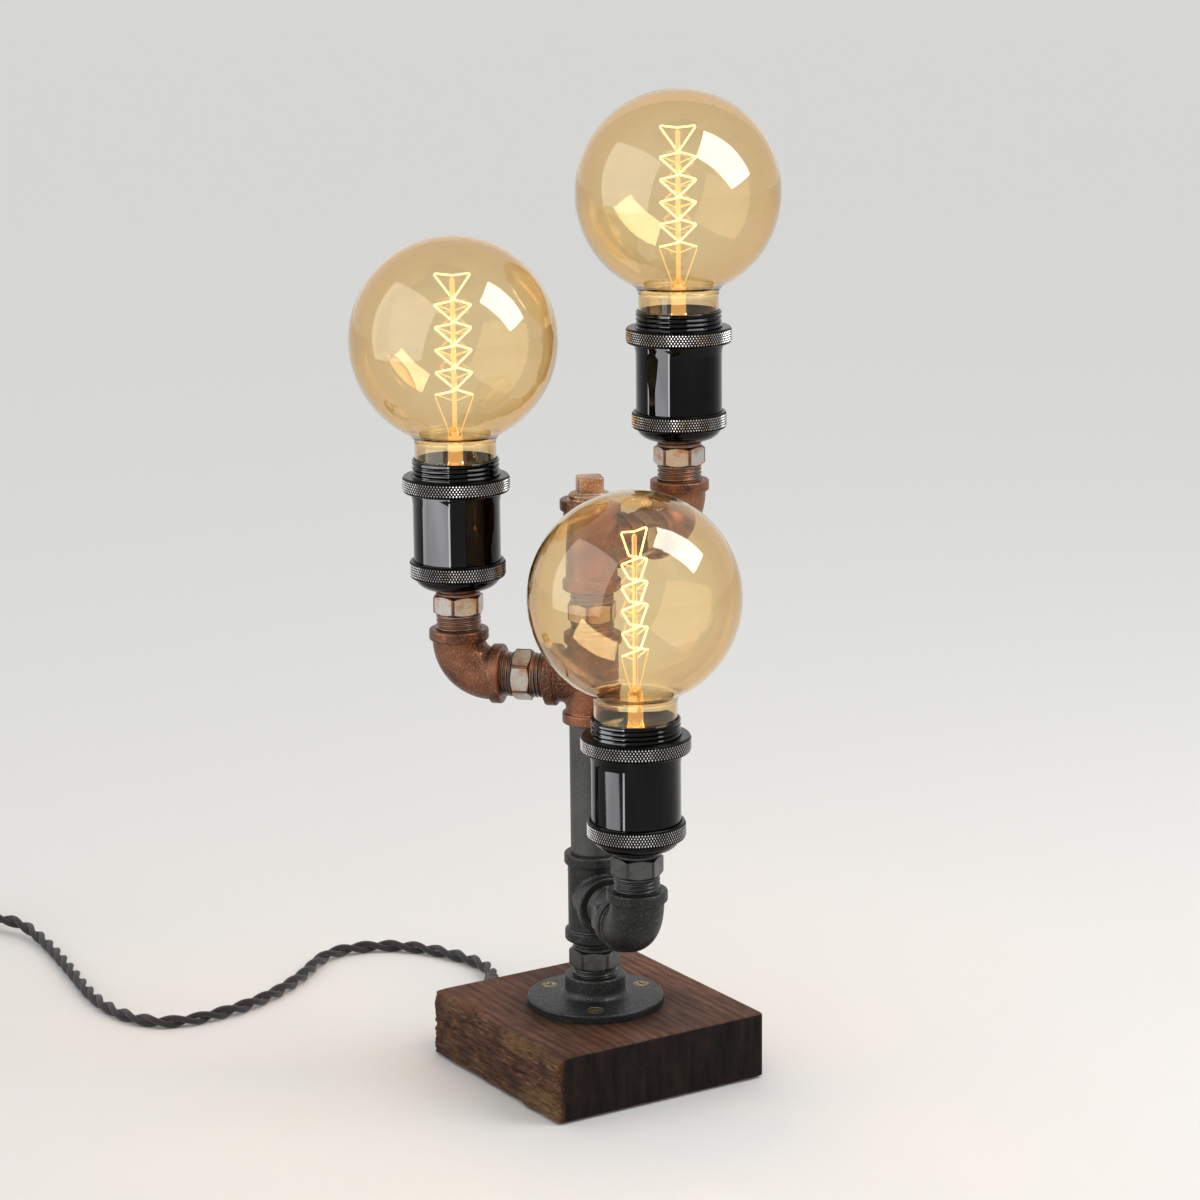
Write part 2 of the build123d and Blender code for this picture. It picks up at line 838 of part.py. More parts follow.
def bulb_mount(frame, turn):
    """The glass stem sealed into the neck, with the rod, hooks and leads that carry the filament."""
    bottom = cap_top - glass_overlap
    flare = cap_root_radius - contact_wall - glass_seat_clearance - glass_wall
    pinch = bottom + mount_stem_height
    sides = filament_side(turn), filament_side(turn + 180)
    over_rod = globe_centre + filament_top_height - filament_top_sag - filament_wire_radius
    rod_top = over_rod - rod_gap - mount_rod_radius
    outline = [
        (0, bottom),
        (flare, bottom),
        (flare, bottom + mount_rim_height),
        (mount_stem_radius + mount_shoulder, bottom + mount_shoulder_height),
        (mount_stem_radius, bottom + mount_stem_height / 2),
        (mount_stem_radius, pinch),
        (mount_rod_radius, pinch + mount_pinch_taper),
        (mount_rod_radius, rod_top),
        (0, rod_top + mount_rod_radius),
    ]
    up = Plane(origin=frame.origin, x_dir=frame.x_dir, z_dir=frame.y_dir)
    hook_reach = (filament_radius - filament_wire_radius - hook_gap) / filament_radius
    lead_share = lead_foot_radius / filament_radius
    rods = []
    for side in sides:
        for x, y, z in side[:-1:2]:
            rods.append(((0, 0, z - hook_drop), (x * hook_reach, y * hook_reach, z), hook_radius))
        x, y, z = side[0]
        lead_foot = (x * lead_share, y * lead_share, pinch - lead_depth)
        rods.append((lead_foot, (x, y, z - hook_gap), lead_radius))
    with BuildPart() as mount:
        add(turned(frame, outline))
        for start, finish, radius in rods:
            root, end = up.from_local_coords(start), up.from_local_coords(finish)
            with BuildSketch(Plane(origin=root, z_dir=end - root)):
                Circle(radius)
            extrude(amount=(end - root).length)
    return mount.part


def bulb_filament(frame, turn):
    """The caged filament: one wire wound up the rod and down again from hook to hook."""
    up = Plane(origin=frame.origin, x_dir=frame.x_dir, z_dir=frame.y_dir)
    with BuildPart() as filament:
        with BuildLine(up):
            path = FilletPolyline(*filament_corners(turn), radius=filament_bend)
        with BuildSketch(Plane(origin=path @ 0, z_dir=path % 0)):
            Circle(filament_wire_radius)
        sweep(path=path)
    return filament.part


for arm, (direction, height) in ARMS.items():
    frame = arm_frame(direction, height)
    group(nipples(direction, height, HOLDER_HEX_TURNS[arm]), f"{arm}_nipples")
    save(elbow(frame), f"{arm}_elbow")
    save(holder_cap(frame), f"{arm}_holder_cap")
    save(
        knurled_ring(
            frame,
            clamp_ring_inner_radius,
            clamp_ring_radius,
            clamp_ring_bottom,
            clamp_ring_height,
        ),
        f"{arm}_clamp_ring",
    )
    save(holder_shell(frame), f"{arm}_holder_shell")
    save(
        knurled_ring(
            frame,
            shade_ring_inner_radius,
            shade_ring_radius,
            shade_ring_bottom,
            shade_ring_height,
        ),
        f"{arm}_shade_ring",
    )
    save(socket_insert(frame), f"{arm}_socket_insert")
    group(socket_contacts(frame), f"{arm}_socket_contacts")
    save(bulb_glass(frame), f"{arm}_bulb_glass")
    save(bulb_cap(frame), f"{arm}_bulb_cap")
    filament_turn = filament_sides[arm] - direction
    save(bulb_mount(frame, filament_turn), f"{arm}_bulb_mount")
    save(bulb_filament(frame, filament_turn), f"{arm}_bulb_filament")


# ---------------------------------------------------------------- wiring
def stem_wires(start, end, arm):
    """The wires inside one turning length of stem, with the pair that leaves for the arm's socket."""
    direction, height = ARMS[arm]
    frame = arm_frame(direction, height)
    with BuildPart() as wires:
        with BuildSketch(Plane.XY.offset(start)):
            Circle(wire_radius)
        extrude(amount=end - start)
        with BuildLine(frame):
            path = FilletPolyline(
                (-arm_length, 0),
                (0, 0),
                (0, insert_bottom + insert_floor / 2),
                radius=wire_bend,
            )
        with BuildSketch(Plane(origin=(0, 0, height), z_dir=frame.x_dir)):
            Circle(wire_radius)
        sweep(path=path)
    return wires.part


base_wire_top = lower_height - fitting_reach + nipple_engaged
riser_wire_top = riser_high + nipple_engaged
link_wire_top = upper_height - fitting_reach + nipple_engaged
save(stem_wires(base_wire_top + wire_gap, riser_wire_top, "lower"), "lower_wires")
save(stem_wires(riser_wire_top + wire_gap, link_wire_top, "middle"), "middle_wires")
save(stem_wires(link_wire_top + wire_gap, upper_height + wire_radius, "upper"), "upper_wires")

terminal_length, terminal_width, terminal_height = terminal_size
with BuildPart() as terminal_block:
    with BuildSketch(Plane.XY.offset(pad_height)):
        Rectangle(terminal_length, terminal_width)
    extrude(amount=terminal_height)
    fillet(terminal_block.edges().filter_by(Axis.Z), terminal_corner)
    with BuildSketch(Plane.XY.offset(pad_height + terminal_height)):
        with GridLocations(terminal_length / 2, terminal_width / 2, 2, 2):
            Circle(terminal_screw_radius)
    extrude(amount=-terminal_screw_depth, mode=Mode.SUBTRACT)
save(terminal_block.part, "terminal_block")

# The wires up to the first turning joint, and the cord's end inside the block
gland_end = block_side / 2 + gland_flange_height + gland_length
with BuildPart() as riser_wires:
    with BuildSketch(Plane.XY.offset(pad_height + terminal_height)):
        Circle(wire_radius)
    extrude(amount=base_wire_top - pad_height - terminal_height)
with BuildPart() as inner_cord:
    with BuildSketch(Plane(origin=(0, terminal_width / 2, cord_exit_height), z_dir=(0, 1, 0))):
        Circle(cord_radius)
    extrude(amount=gland_end - terminal_width / 2)
group([riser_wires.part, inner_cord.part], "supply_wires")

# ---------------------------------------------------------------- cord
# The route lies on the floor behind the block and to its left, then goes through the switch.
switch_entry = switch_split
route = [
    (0, gland_end, cord_exit_height),
    (0, 102, cord_exit_height),
    (18, 125, 4.6),
    (27, 152, cord_radius),
    (14, 190, cord_radius),
    (-6, 208, cord_radius),
    (-34, 211, cord_radius),
    (-64, 180, cord_radius),
    (-104, 158, cord_radius),
    (-146, 155, cord_radius),
    (-161, 178, cord_radius),
    (-163, 212, cord_radius),
    (-154, 262, cord_radius),
    (-146, 316, cord_radius),
    (-151, 347, switch_entry),
    (-218, 410, switch_entry),
    (-258, 396, cord_radius),
    (-275, 364, cord_radius),
]
switch_start, switch_end = (Vector(*point) for point in route[14:16])

gland_bore_radius = cord_radius + seat_clearance
gland_inner_end = recess_radius + gland_to_recess - block_side / 2
with BuildPart() as cord_gland:
    add(
        turned(
            Plane(origin=exit_plane.origin, x_dir=(1, 0, 0), z_dir=(0, 0, 1)),
            [
                (gland_bore_radius, gland_inner_end),
                (gland_radius, gland_inner_end),
                (gland_radius, 0),
                (gland_flange_radius, 0),
                (gland_flange_radius, gland_flange_height - gland_flange_edge),
                (gland_flange_radius - gland_flange_edge, gland_flange_height),
                (gland_radius, gland_flange_height),
                (gland_tip_radius, gland_flange_height + gland_length),
                (gland_bore_radius, gland_flange_height + gland_length),
            ],
        )
    )
save(cord_gland.part, "cord_gland")


def corner_radii(points):
    """The same share of the shorter run at each corner, divided by the tangent of half the turn."""
    radii = []
    for before, corner, after in zip(points, points[1:], points[2:], strict=False):
        run_in, run_out = Vector(*corner) - Vector(*before), Vector(*after) - Vector(*corner)
        half_turn = math.radians(run_in.get_angle(run_out)) / 2
        radii.append(arc_share * min(run_in.length, run_out.length) / math.tan(half_turn))
    return radii


radii = corner_radii(route)
with BuildPart() as cord:
    with BuildLine():
        cord_path = FilletPolyline(*route, radius=radii)
    with BuildSketch(Plane(origin=cord_path @ 0, z_dir=cord_path % 0)):
        Circle(cord_radius)
    sweep(path=cord_path)
save(cord.part, "cord")
print("cord arcs, in diameters:", [round(radius / (2 * cord_radius), 1) for radius in radii])
cord_length = cord_path.length
print(
    "cord length", round(cord_length, 1),
    "volume", round(cord.part.volume),
    "section x length", round(math.pi * cord_radius**2 * cord_length),
)

# The coil lies where the route ends: the cord runs into its outer turn, and leaves towards the plug
# from a middle turn.
coil_half_width = coil_turns_across * cord_radius
coil_height = coil_layers * 2 * cord_radius
coil_outer_radius = coil_turn_radius + coil_half_width
route_end = Vector(*route[-1][:2])
end_heading = (route_end - Vector(*route[-2][:2])).normalized()
end_left = Vector(-end_heading.Y, end_heading.X)
coil_centre = route_end + end_left * (coil_outer_radius - cord_radius)
tail_out = Vector(*level_direction(tail_angle))
tail_heading = Vector(*level_direction(tail_angle + 90))
tail_start = coil_centre + tail_out * coil_turn_radius + Vector(0, 0, mains_plug_thickness / 2)
tail_length = math.sqrt(coil_outer_radius**2 - coil_turn_radius**2) + tail_free
with BuildPart() as cord_coil:
    with BuildSketch(Plane(origin=coil_centre, x_dir=(1, 0, 0), z_dir=(0, -1, 0))):
        with Locations((coil_turn_radius, coil_height / 2)):
            RectangleRounded(2 * coil_half_width, coil_height, cord_radius * coil_rounding)
    revolve(axis=Axis(coil_centre, (0, 0, 1)))
    with BuildSketch(Plane(origin=tail_start, z_dir=tail_heading)):
        Circle(cord_radius)
    extrude(amount=tail_length)
save(cord_coil.part, "cord_coil")

# ---------------------------------------------------------------- in-line switch
switch_x = (switch_end - switch_start).normalized()
switch_middle = (switch_start + switch_end) * 0.5
switch_floor = Plane(origin=(switch_middle.X, switch_middle.Y, 0), x_dir=switch_x, z_dir=(0, 0, 1))
cord_line = Plane(origin=switch_middle, z_dir=switch_x)
pocket_length = rocker_length + 2 * rocker_clearance
pocket_width = rocker_width + 2 * rocker_clearance


def switch_half(bottom, top, rounded):
    with BuildPart() as half:
        with BuildSketch(switch_floor.offset(bottom)):
            RectangleRounded(switch_length, switch_width, switch_corner)
        extrude(amount=top - bottom)
        fillet(half.faces().sort_by(Axis.Z)[rounded].edges(), switch_edge)
        with BuildSketch(cord_line):
            Circle(cord_radius + switch_bore_clearance)
        extrude(amount=switch_length, both=True, mode=Mode.SUBTRACT)
        with BuildSketch(switch_floor.offset(switch_height)):
            Rectangle(pocket_length, pocket_width)
        extrude(amount=-(rocker_depth + rocker_room), mode=Mode.SUBTRACT)
    return half.part


save(switch_half(0, switch_split, 0), "switch_base")
save(switch_half(switch_split, switch_height, -1), "switch_cover")

rocker_hinge = Plane(
    origin=switch_floor.from_local_coords((0, 0, switch_height)),
    x_dir=switch_x,
    z_dir=switch_x.cross(Vector(0, 0, 1)),
)
rocker_tilt = math.radians(rocker_angle)
rocker_frame = Plane(
    origin=rocker_hinge.origin,
    x_dir=switch_x * math.cos(rocker_tilt) + Vector(0, 0, math.sin(rocker_tilt)),
    z_dir=rocker_hinge.z_dir,
)
rocker_end = rocker_length / 2 - rocker_end_inset
rocker_belly = rocker_belly_rise - rocker_depth
with BuildPart() as switch_rocker:
    with BuildSketch(rocker_frame):
        with BuildLine():
            Polyline(
                (-rocker_end, rocker_rise),
                (-rocker_end, -rocker_skirt),
                (-rocker_length / 4, rocker_belly),
                (rocker_length / 4, rocker_belly),
                (rocker_end, -rocker_skirt),
                (rocker_end, rocker_rise),
            )
            ThreePointArc(
                (rocker_end, rocker_rise), (0, rocker_rise - rocker_dip), (-rocker_end, rocker_rise)
            )
        make_face()
    extrude(amount=rocker_width / 2, both=True)
save(switch_rocker.part, "switch_rocker")

# ---------------------------------------------------------------- mains plug
sleeve_start = tail_start + tail_heading * tail_length
body_start = sleeve_start + tail_heading * mains_plug_sleeve
sleeve_end = body_start + tail_heading * mains_plug_sleeve_overlap
body_end = body_start + tail_heading * mains_plug_length
with BuildPart() as plug_body:
    with BuildSketch(Plane(origin=body_start, x_dir=(0, 0, 1), z_dir=tail_heading)):
        RectangleRounded(mains_plug_thickness, mains_plug_neck_width, mains_plug_corner)
    with BuildSketch(Plane(origin=body_end, x_dir=(0, 0, 1), z_dir=tail_heading)):
        RectangleRounded(mains_plug_thickness, mains_plug_width, mains_plug_corner)
    loft()
    with BuildSketch(Plane(origin=sleeve_start, z_dir=tail_heading)):
        Circle(cord_radius + mains_plug_sleeve_wall)
    with BuildSketch(Plane(origin=sleeve_end, z_dir=tail_heading)):
        Circle(mains_plug_sleeve_radius)
    loft()
    with BuildSketch(Plane(origin=body_end, x_dir=(0, 0, 1), z_dir=tail_heading)):
        with Locations((0, pin_spacing / 2), (0, -pin_spacing / 2)):
            Circle(pin_radius + seat_clearance)
    extrude(amount=-pin_seat, mode=Mode.SUBTRACT)
save(plug_body.part, "plug_body")


def plug_pin(side):
    across = tail_heading.cross(Vector(0, 0, 1))
    root = body_end - tail_heading * pin_seat + across * (side * pin_spacing / 2)
    with BuildPart() as pin:
        with BuildSketch(Plane(origin=root, z_dir=tail_heading)):
            Circle(pin_radius)
        extrude(amount=pin_seat + pin_length)
        fillet(pin.edges().filter_by(GeomType.CIRCLE).sort_by(Axis(root, tail_heading))[-1], pin_tip)
    return pin.part


group([plug_pin(-1), plug_pin(1)], "plug_pins")

print("tee heights", lower_height, middle_height, upper_height, "arm length", arm_length)
print("overall height", round(upper_height + globe_centre + globe_radius, 1))
print("mouth", mouth_height, "globe centre", globe_centre, "cap top", cap_top)
coil_turns = coil_turns_across * coil_layers
print("coil centre", coil_centre, "cord in coil", round(coil_turns * 2 * math.pi * coil_turn_radius))
print("rocker hinge", rocker_hinge.origin, rocker_hinge.z_dir)
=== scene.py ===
# %% [markdown]
# # A table lamp made of pipe fittings
# The lamp is a wooden block, a floor flange, a stem of half-inch iron fittings and three arms, each
# with a knurled lampholder and an amber globe bulb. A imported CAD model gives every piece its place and
# its size. This lesson dresses that model: it keeps the solids whose shape is already right, models the
# rest afresh with bmesh operators, and gives every surface a material made of nodes.

# %% Load the fixed frame
import json
import math

import bmesh
import bpy
from mathutils import Matrix, Vector, noise

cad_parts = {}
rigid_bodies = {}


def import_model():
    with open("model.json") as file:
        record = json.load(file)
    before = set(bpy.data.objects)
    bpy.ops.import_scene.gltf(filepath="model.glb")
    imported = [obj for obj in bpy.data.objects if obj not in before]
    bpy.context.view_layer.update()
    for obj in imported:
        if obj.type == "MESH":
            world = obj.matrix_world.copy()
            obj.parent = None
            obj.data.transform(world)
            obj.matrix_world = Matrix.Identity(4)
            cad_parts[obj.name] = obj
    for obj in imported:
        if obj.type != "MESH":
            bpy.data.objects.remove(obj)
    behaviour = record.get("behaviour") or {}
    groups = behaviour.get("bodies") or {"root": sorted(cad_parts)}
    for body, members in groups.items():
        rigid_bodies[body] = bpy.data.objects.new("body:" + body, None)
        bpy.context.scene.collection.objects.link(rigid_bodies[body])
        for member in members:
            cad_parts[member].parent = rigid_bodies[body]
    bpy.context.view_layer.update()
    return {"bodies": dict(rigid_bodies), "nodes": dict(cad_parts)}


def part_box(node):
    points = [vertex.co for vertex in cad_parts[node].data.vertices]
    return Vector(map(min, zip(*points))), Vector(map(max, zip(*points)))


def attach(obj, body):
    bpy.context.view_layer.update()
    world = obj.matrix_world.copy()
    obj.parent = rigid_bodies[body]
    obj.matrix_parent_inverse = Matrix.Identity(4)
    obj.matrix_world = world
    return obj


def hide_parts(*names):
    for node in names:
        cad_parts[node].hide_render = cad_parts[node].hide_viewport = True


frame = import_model()
MM = 0.001

# %% [markdown]
# ## The camera
# A long lens from about a metre and a half away looks down a little, as a catalogue shows a lamp.
# The camera's place, its turn and its slight roll are numbers chosen once. A matrix product of three
# turns puts them together in the order yaw, tilt, roll.

# %% Camera
def add_object(name, data):
    """A new object in the scene."""
    item = bpy.data.objects.new(name, data)
    bpy.context.scene.collection.objects.link(item)
    return item


CAMERA_PLACE = (-0.7903, -1.2725, 0.5575)
CAMERA_YAW = -32.0
CAMERA_DOWN = 12.53
CAMERA_ROLL = -0.6

camera_data = bpy.data.cameras.new("camera")
camera_data.lens = 100.8
camera_data.sensor_width = 36.0
camera_data.clip_end = 20.0
camera = add_object("camera", camera_data)
camera.matrix_world = (
    Matrix.Translation(CAMERA_PLACE)
    @ Matrix.Rotation(math.radians(CAMERA_YAW), 4, "Z")
    @ Matrix.Rotation(math.radians(90 - CAMERA_DOWN), 4, "X")
    @ Matrix.Rotation(math.radians(CAMERA_ROLL), 4, "Z")
)
bpy.context.scene.camera = camera
bpy.context.scene.view_settings.view_transform = "Standard"
print("camera at", CAMERA_PLACE)

# %% [markdown]
# ## Small helpers for nodes
# A material is a little graph. These helpers add a node, set its inputs by name and link it, so that
# each finish below reads as a short recipe. All patterns read Object coordinates, which are metres here,
# so a noise of scale 1000 has features about a millimetre across.

# %% Node helpers
def feed(tree, socket, value):
    """Gives a socket a number, a colour or another node's output."""
    if isinstance(value, bpy.types.NodeSocket):
        tree.links.new(value, socket)
    elif isinstance(value, tuple) and len(value) == 3 and len(socket.default_value) == 4:
        socket.default_value = (*value, 1.0)
    else:
        socket.default_value = value


def set_inputs(tree, node, **inputs):
    """Feeds a node's inputs by name."""
    for name, value in inputs.items():
        feed(tree, node.inputs[name.replace("_", " ")], value)


def add_node(tree, kind, **inputs):
    """A new node of that kind, with its inputs fed."""
    node = tree.nodes.new(kind)
    set_inputs(tree, node, **inputs)
    return node


def new_material(name, base, roughness, metallic=0.0):
    """A material whose Principled shader starts from a plain colour."""
    material = bpy.data.materials.new(name)
    material.use_nodes = True
    tree = material.node_tree
    shader = tree.nodes["Principled BSDF"]
    set_inputs(tree, shader, Base_Color=base, Roughness=roughness, Metallic=metallic)
    material.diffuse_color = (*base, 1.0)
    return material, tree, shader


def object_place(tree, stretch=(1.0, 1.0, 1.0), turn=0.0):
    """Object coordinates, stretched and turned about Z."""
    coordinates = add_node(tree, "ShaderNodeTexCoord")
    mapping = add_node(
        tree, "ShaderNodeMapping", Vector=coordinates.outputs["Object"], Scale=stretch,
        Rotation=(0.0, 0.0, math.radians(turn)),
    )
    return mapping.outputs[0]


def noise_value(tree, place, scale, detail=3.0, roughness=0.55):
    """Cloudy noise from 0 to 1 with features one scale-th of a metre across."""
    texture = add_node(
        tree, "ShaderNodeTexNoise", Vector=place, Scale=scale, Detail=detail, Roughness=roughness
    )
    return texture.outputs["Fac"]


def between(tree, value, low, high, to_low=0.0, to_high=1.0):
    """The value's stretch from low to high, spread over to_low..to_high."""
    node = add_node(
        tree, "ShaderNodeMapRange", Value=value, From_Min=low, From_Max=high, To_Min=to_low, To_Max=to_high
    )
    return node.outputs[0]


def mix_colours(tree, share, first, second):
    """The first colour with that share of the second."""
    node = tree.nodes.new("ShaderNodeMix")
    node.data_type = "RGBA"
    for index, value in ((0, share), (6, first), (7, second)):
        feed(tree, node.inputs[index], value)
    return node.outputs[2]


def cover(tree, under, over, value, low, high, share=1.0):
    """A colour that gives way to another, up to that share, as a value goes from low to high."""
    return mix_colours(tree, between(tree, value, low, high, 0.0, share), under, over)


VECTOR_MATH = "ShaderNodeVectorMath"


def calculate(tree, operation, first, second=0.0, kind="ShaderNodeMath", output="Value"):
    """The number that a Math node gives, or the number or vector that a Vector Math node gives."""
    node = tree.nodes.new(kind)
    node.operation = operation
    feed(tree, node.inputs[0], first)
    feed(tree, node.inputs[1], second)
    return node.outputs[output]


def bump(tree, height, distance, strength=1.0, below=None):
    """A bump of that height in metres, on top of another bump if one is given."""
    node = add_node(tree, "ShaderNodeBump", Height=height, Distance=distance, Strength=strength)
    if below is not None:
        feed(tree, node.inputs["Normal"], below)
    return node.outputs[0]


# %% [markdown]
# ## Small helpers for meshes
# Most pieces of a lamp are turned: a profile is drawn as a line of points in a plane through the axis,
# and `bmesh.ops.spin` sweeps it round. The helpers work upright at the origin, and at the end one matrix,
# applied to the mesh, takes a piece to its place.

# %% Mesh helpers
def profile_line(work, outline):
    """A line of edges through (radius, height) points in the XZ plane."""
    points = [work.verts.new((radius, 0.0, height)) for radius, height in outline]
    edges = [work.edges.new(pair) for pair in zip(points, points[1:])]
    return points + edges


def turn_profile(work, outline, steps=96):
    """Spins a line about Z into a closed surface of revolution."""
    before = set(work.verts)
    bmesh.ops.spin(
        work, geom=profile_line(work, outline), cent=(0, 0, 0), axis=(0, 0, 1),
        angle=2 * math.pi, steps=steps, use_merge=True,
    )
    new = [v for v in work.verts if v not in before]
    bmesh.ops.remove_doubles(work, verts=new, dist=1e-4)


def finish_piece(name, work, body, material, place=None, *, sharp, hides, outwards=True):
    """Makes the bmesh a named object that rides on a body and stands for CAD nodes."""
    if outwards:
        bmesh.ops.recalc_face_normals(work, faces=work.faces)
    if place is not None:
        bmesh.ops.transform(work, matrix=place, verts=work.verts)
    mesh = bpy.data.meshes.new(name)
    work.to_mesh(mesh)
    work.free()
    mesh.shade_smooth()
    mesh.set_sharp_from_angle(angle=math.radians(sharp))
    mesh.materials.append(material)
    piece = add_object(name, mesh)
    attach(piece, body)
    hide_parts(*hides)
    return piece


def dress(material, *nodes):
    """Gives CAD nodes that keep their shape a better material."""
    for name in nodes:
        node = frame["nodes"][name]
        node.data.materials.clear()
        node.data.materials.append(material)


# %% [markdown]
# ## The cord's material
# The cord is two cores in black woven cotton, twisted round each other. The braid's tiny crossings show
# as a fine sparkle along each core, so the weave follows the mesh's own UV map, which runs along the core
# in one direction and round it in the other.

# %% Textile
def make_textile():
    material, tree, shader = new_material("black_textile", (0.012, 0.011, 0.012), 0.85)
    weave_place = add_node(tree, "ShaderNodeUVMap")
    weave_place.uv_map = "braid"
    parts = add_node(tree, "ShaderNodeSeparateXYZ", Vector=weave_place.outputs[0])
    waves = []
    for operation in ("ADD", "SUBTRACT"):
        way = calculate(tree, operation, parts.outputs[0], parts.outputs[1])
        waves.append(calculate(tree, "SINE", calculate(tree, "MULTIPLY", way, 2 * math.pi)))
    threads = calculate(tree, "MULTIPLY", *waves)
    colour = cover(tree, (0.006, 0.0055, 0.006), (0.03, 0.027, 0.027), threads, -1.0, 1.0)
    set_inputs(
        tree, shader, Base_Color=colour, Normal=bump(tree, threads, 0.00012),
        Sheen_Weight=0.35, Sheen_Roughness=0.4,
    )
    return material


TEXTILE = make_textile()
print("textile ready")

# %% [markdown]
# ## The cord's route
# The route's points are control points of a smooth NURBS line: out of the gland, down to the table, in
# loose curves to the in-line switch, then into a neat coil that ends at the plug. The coil's turns are
# worked out by a loop: three columns in two layers, wound from the outside of the lower layer inwards and
# back out on the upper one. The cord leaves from the upper layer's outer column.

# %% Cord route
CORD_DIAMETER = 0.0064
CORD_RADIUS = CORD_DIAMETER / 2
EXIT = (0.0, 0.079, 0.012)
ROUTE_MM = [
    (0, 79, 12), (0, 102, 12), (18, 125, 4.6), (27, 152, 3.2), (14, 190, 3.2),
    (-6, 208, 3.2), (-34, 211, 3.2), (-64, 180, 3.2), (-104, 158, 3.2), (-146, 155, 3.2),
    (-161, 178, 3.2), (-163, 212, 3.2), (-154, 262, 3.2), (-146, 316, 3.2), (-151, 347, 8.0),
    (-218, 410, 8.0), (-258, 396, 3.2), (-275, 364, 3.2),
]
route = [Vector(point) * MM for point in ROUTE_MM]
COIL_TURN_RADIUS = 0.035
route_end, heading = route[-1], (route[-1] - route[-2]).to_2d().normalized()
outer_turn = COIL_TURN_RADIUS + 2 * CORD_RADIUS
coil_middle = Vector((route_end.x - heading.y * outer_turn, route_end.y + heading.x * outer_turn, 0.0))
print("coil middle", [round(value / MM, 2) for value in coil_middle])

# %% [markdown]
# Each stage of the coil is one turn in one column, but the last is only the start of one. A stage ends by
# easing over to the next column, and the third one climbs to the upper layer, so that every crossing stays
# a diameter clear of the turn below.

# %% Coil turns
TURN_POINTS = 16
STAGES = [  # column (1 outer, 0 middle, -1 inner), layer, share of the turn after which it eases on
    (1, 0, 0.85), (0, 0, 0.85), (-1, 0, 0.85),
    (-1, 1, 0.7), (0, 1, 0.7), (1, 1, 1.0),
]
EASE = 0.15
PLUG_ANGLE = math.radians(195)
PLUG_SLEEVE_HEIGHT = 0.00685
TAIL_LENGTH = 0.03965
TAIL_SAG_HEIGHT = 0.0076
tail_heading = Vector((-math.sin(PLUG_ANGLE), math.cos(PLUG_ANGLE), 0.0))
sleeve_place = coil_middle + COIL_TURN_RADIUS * Vector((math.cos(PLUG_ANGLE), math.sin(PLUG_ANGLE), 0.0))
sleeve_place += TAIL_LENGTH * tail_heading + Vector((0, 0, PLUG_SLEEVE_HEIGHT))


def coil_stage(turns):
    """Radius and height of the cord's middle after that many turns."""
    stage = min(int(turns), len(STAGES) - 1)
    column, layer, leave = STAGES[stage]
    following = STAGES[min(stage + 1, len(STAGES) - 1)]
    share = min(max((turns - stage - leave) / EASE, 0.0), 1.0)
    share = share * share * (3 - 2 * share)
    column += (following[0] - column) * share
    layer += (following[1] - layer) * share
    return COIL_TURN_RADIUS + column * CORD_DIAMETER, CORD_RADIUS + layer * CORD_DIAMETER


def tangent_angle(place, radius):
    """The angle on a circle about the coil's middle from which a straight line reaches a place."""
    offset = (place - coil_middle).to_2d()
    return math.atan2(offset.y, offset.x) - math.acos(radius / offset.length)


first_angle = math.atan2(route_end.y - coil_middle.y, route_end.x - coil_middle.x)
last_angle = tangent_angle(sleeve_place, outer_turn) + 2 * math.pi
whole_turns = 5 + ((last_angle - first_angle) % (2 * math.pi)) / (2 * math.pi)
steps = round(whole_turns * TURN_POINTS)
coil_points = []
for step in range(1, steps + 1):
    turns = whole_turns * step / steps
    radius, height = coil_stage(turns)
    angle = first_angle + 2 * math.pi * turns
    coil_points.append(coil_middle + Vector((radius * math.cos(angle), radius * math.sin(angle), height)))
tail_start = coil_points[-1]
tail_run = sleeve_place - tail_start
tail_points = [tail_start + tail_run * 0.33, tail_start + tail_run * 0.7, sleeve_place]
tail_points[0].z, tail_points[1].z = tail_start.z, TAIL_SAG_HEIGHT
print("turns", round(whole_turns, 2))

# %% [markdown]
# ## The cord's two cores
# The smooth line is read back from Blender as a mesh without bevel. A frame that never twists is carried
# along it, and the two cores wind round the line in that frame, one turn in 27 mm. Two bevelled splines
# give the cores their round section and a UV map, which is scaled to the pitch of the braid.

# %% Cord
TWIST_PITCH = 0.027
CORE_RADIUS = CORD_DIAMETER / 4
CORD_STEP = 0.0017
BRAID_PITCH = 0.0011
BRAID_THREADS = 8


def curve_mesh(curve):
    """The mesh that a curve comes out as."""
    holder = add_object(curve.name, curve)
    bpy.context.view_layer.update()
    mesh = bpy.data.meshes.new_from_object(holder.evaluated_get(bpy.context.evaluated_depsgraph_get()))
    bpy.data.objects.remove(holder)
    return mesh


def smooth_line(points):
    """Points along the NURBS line of the given control points."""
    curve = bpy.data.curves.new("cord_line", "CURVE")
    curve.dimensions = "3D"
    curve.resolution_u = 8
    spline = curve.splines.new("NURBS")
    spline.points.add(len(points) - 1)
    for point, place in zip(spline.points, points):
        point.co = (*place, 1.0)
    spline.order_u = 3
    spline.use_endpoint_u = True
    read = curve_mesh(curve)
    line = [vertex.co.copy() for vertex in read.vertices]
    bpy.data.meshes.remove(read)
    return line


def carried_frames(line):
    """A normal and a binormal at each point that turn no more than the line does."""
    normal = Vector((0, 0, 1))
    frames = []
    for index, place in enumerate(line):
        ahead = line[min(index + 1, len(line) - 1)] - line[max(index - 1, 0)]
        along = ahead.normalized()
        normal = (normal - along * normal.dot(along)).normalized()
        frames.append((normal.copy(), along.cross(normal)))
    return frames


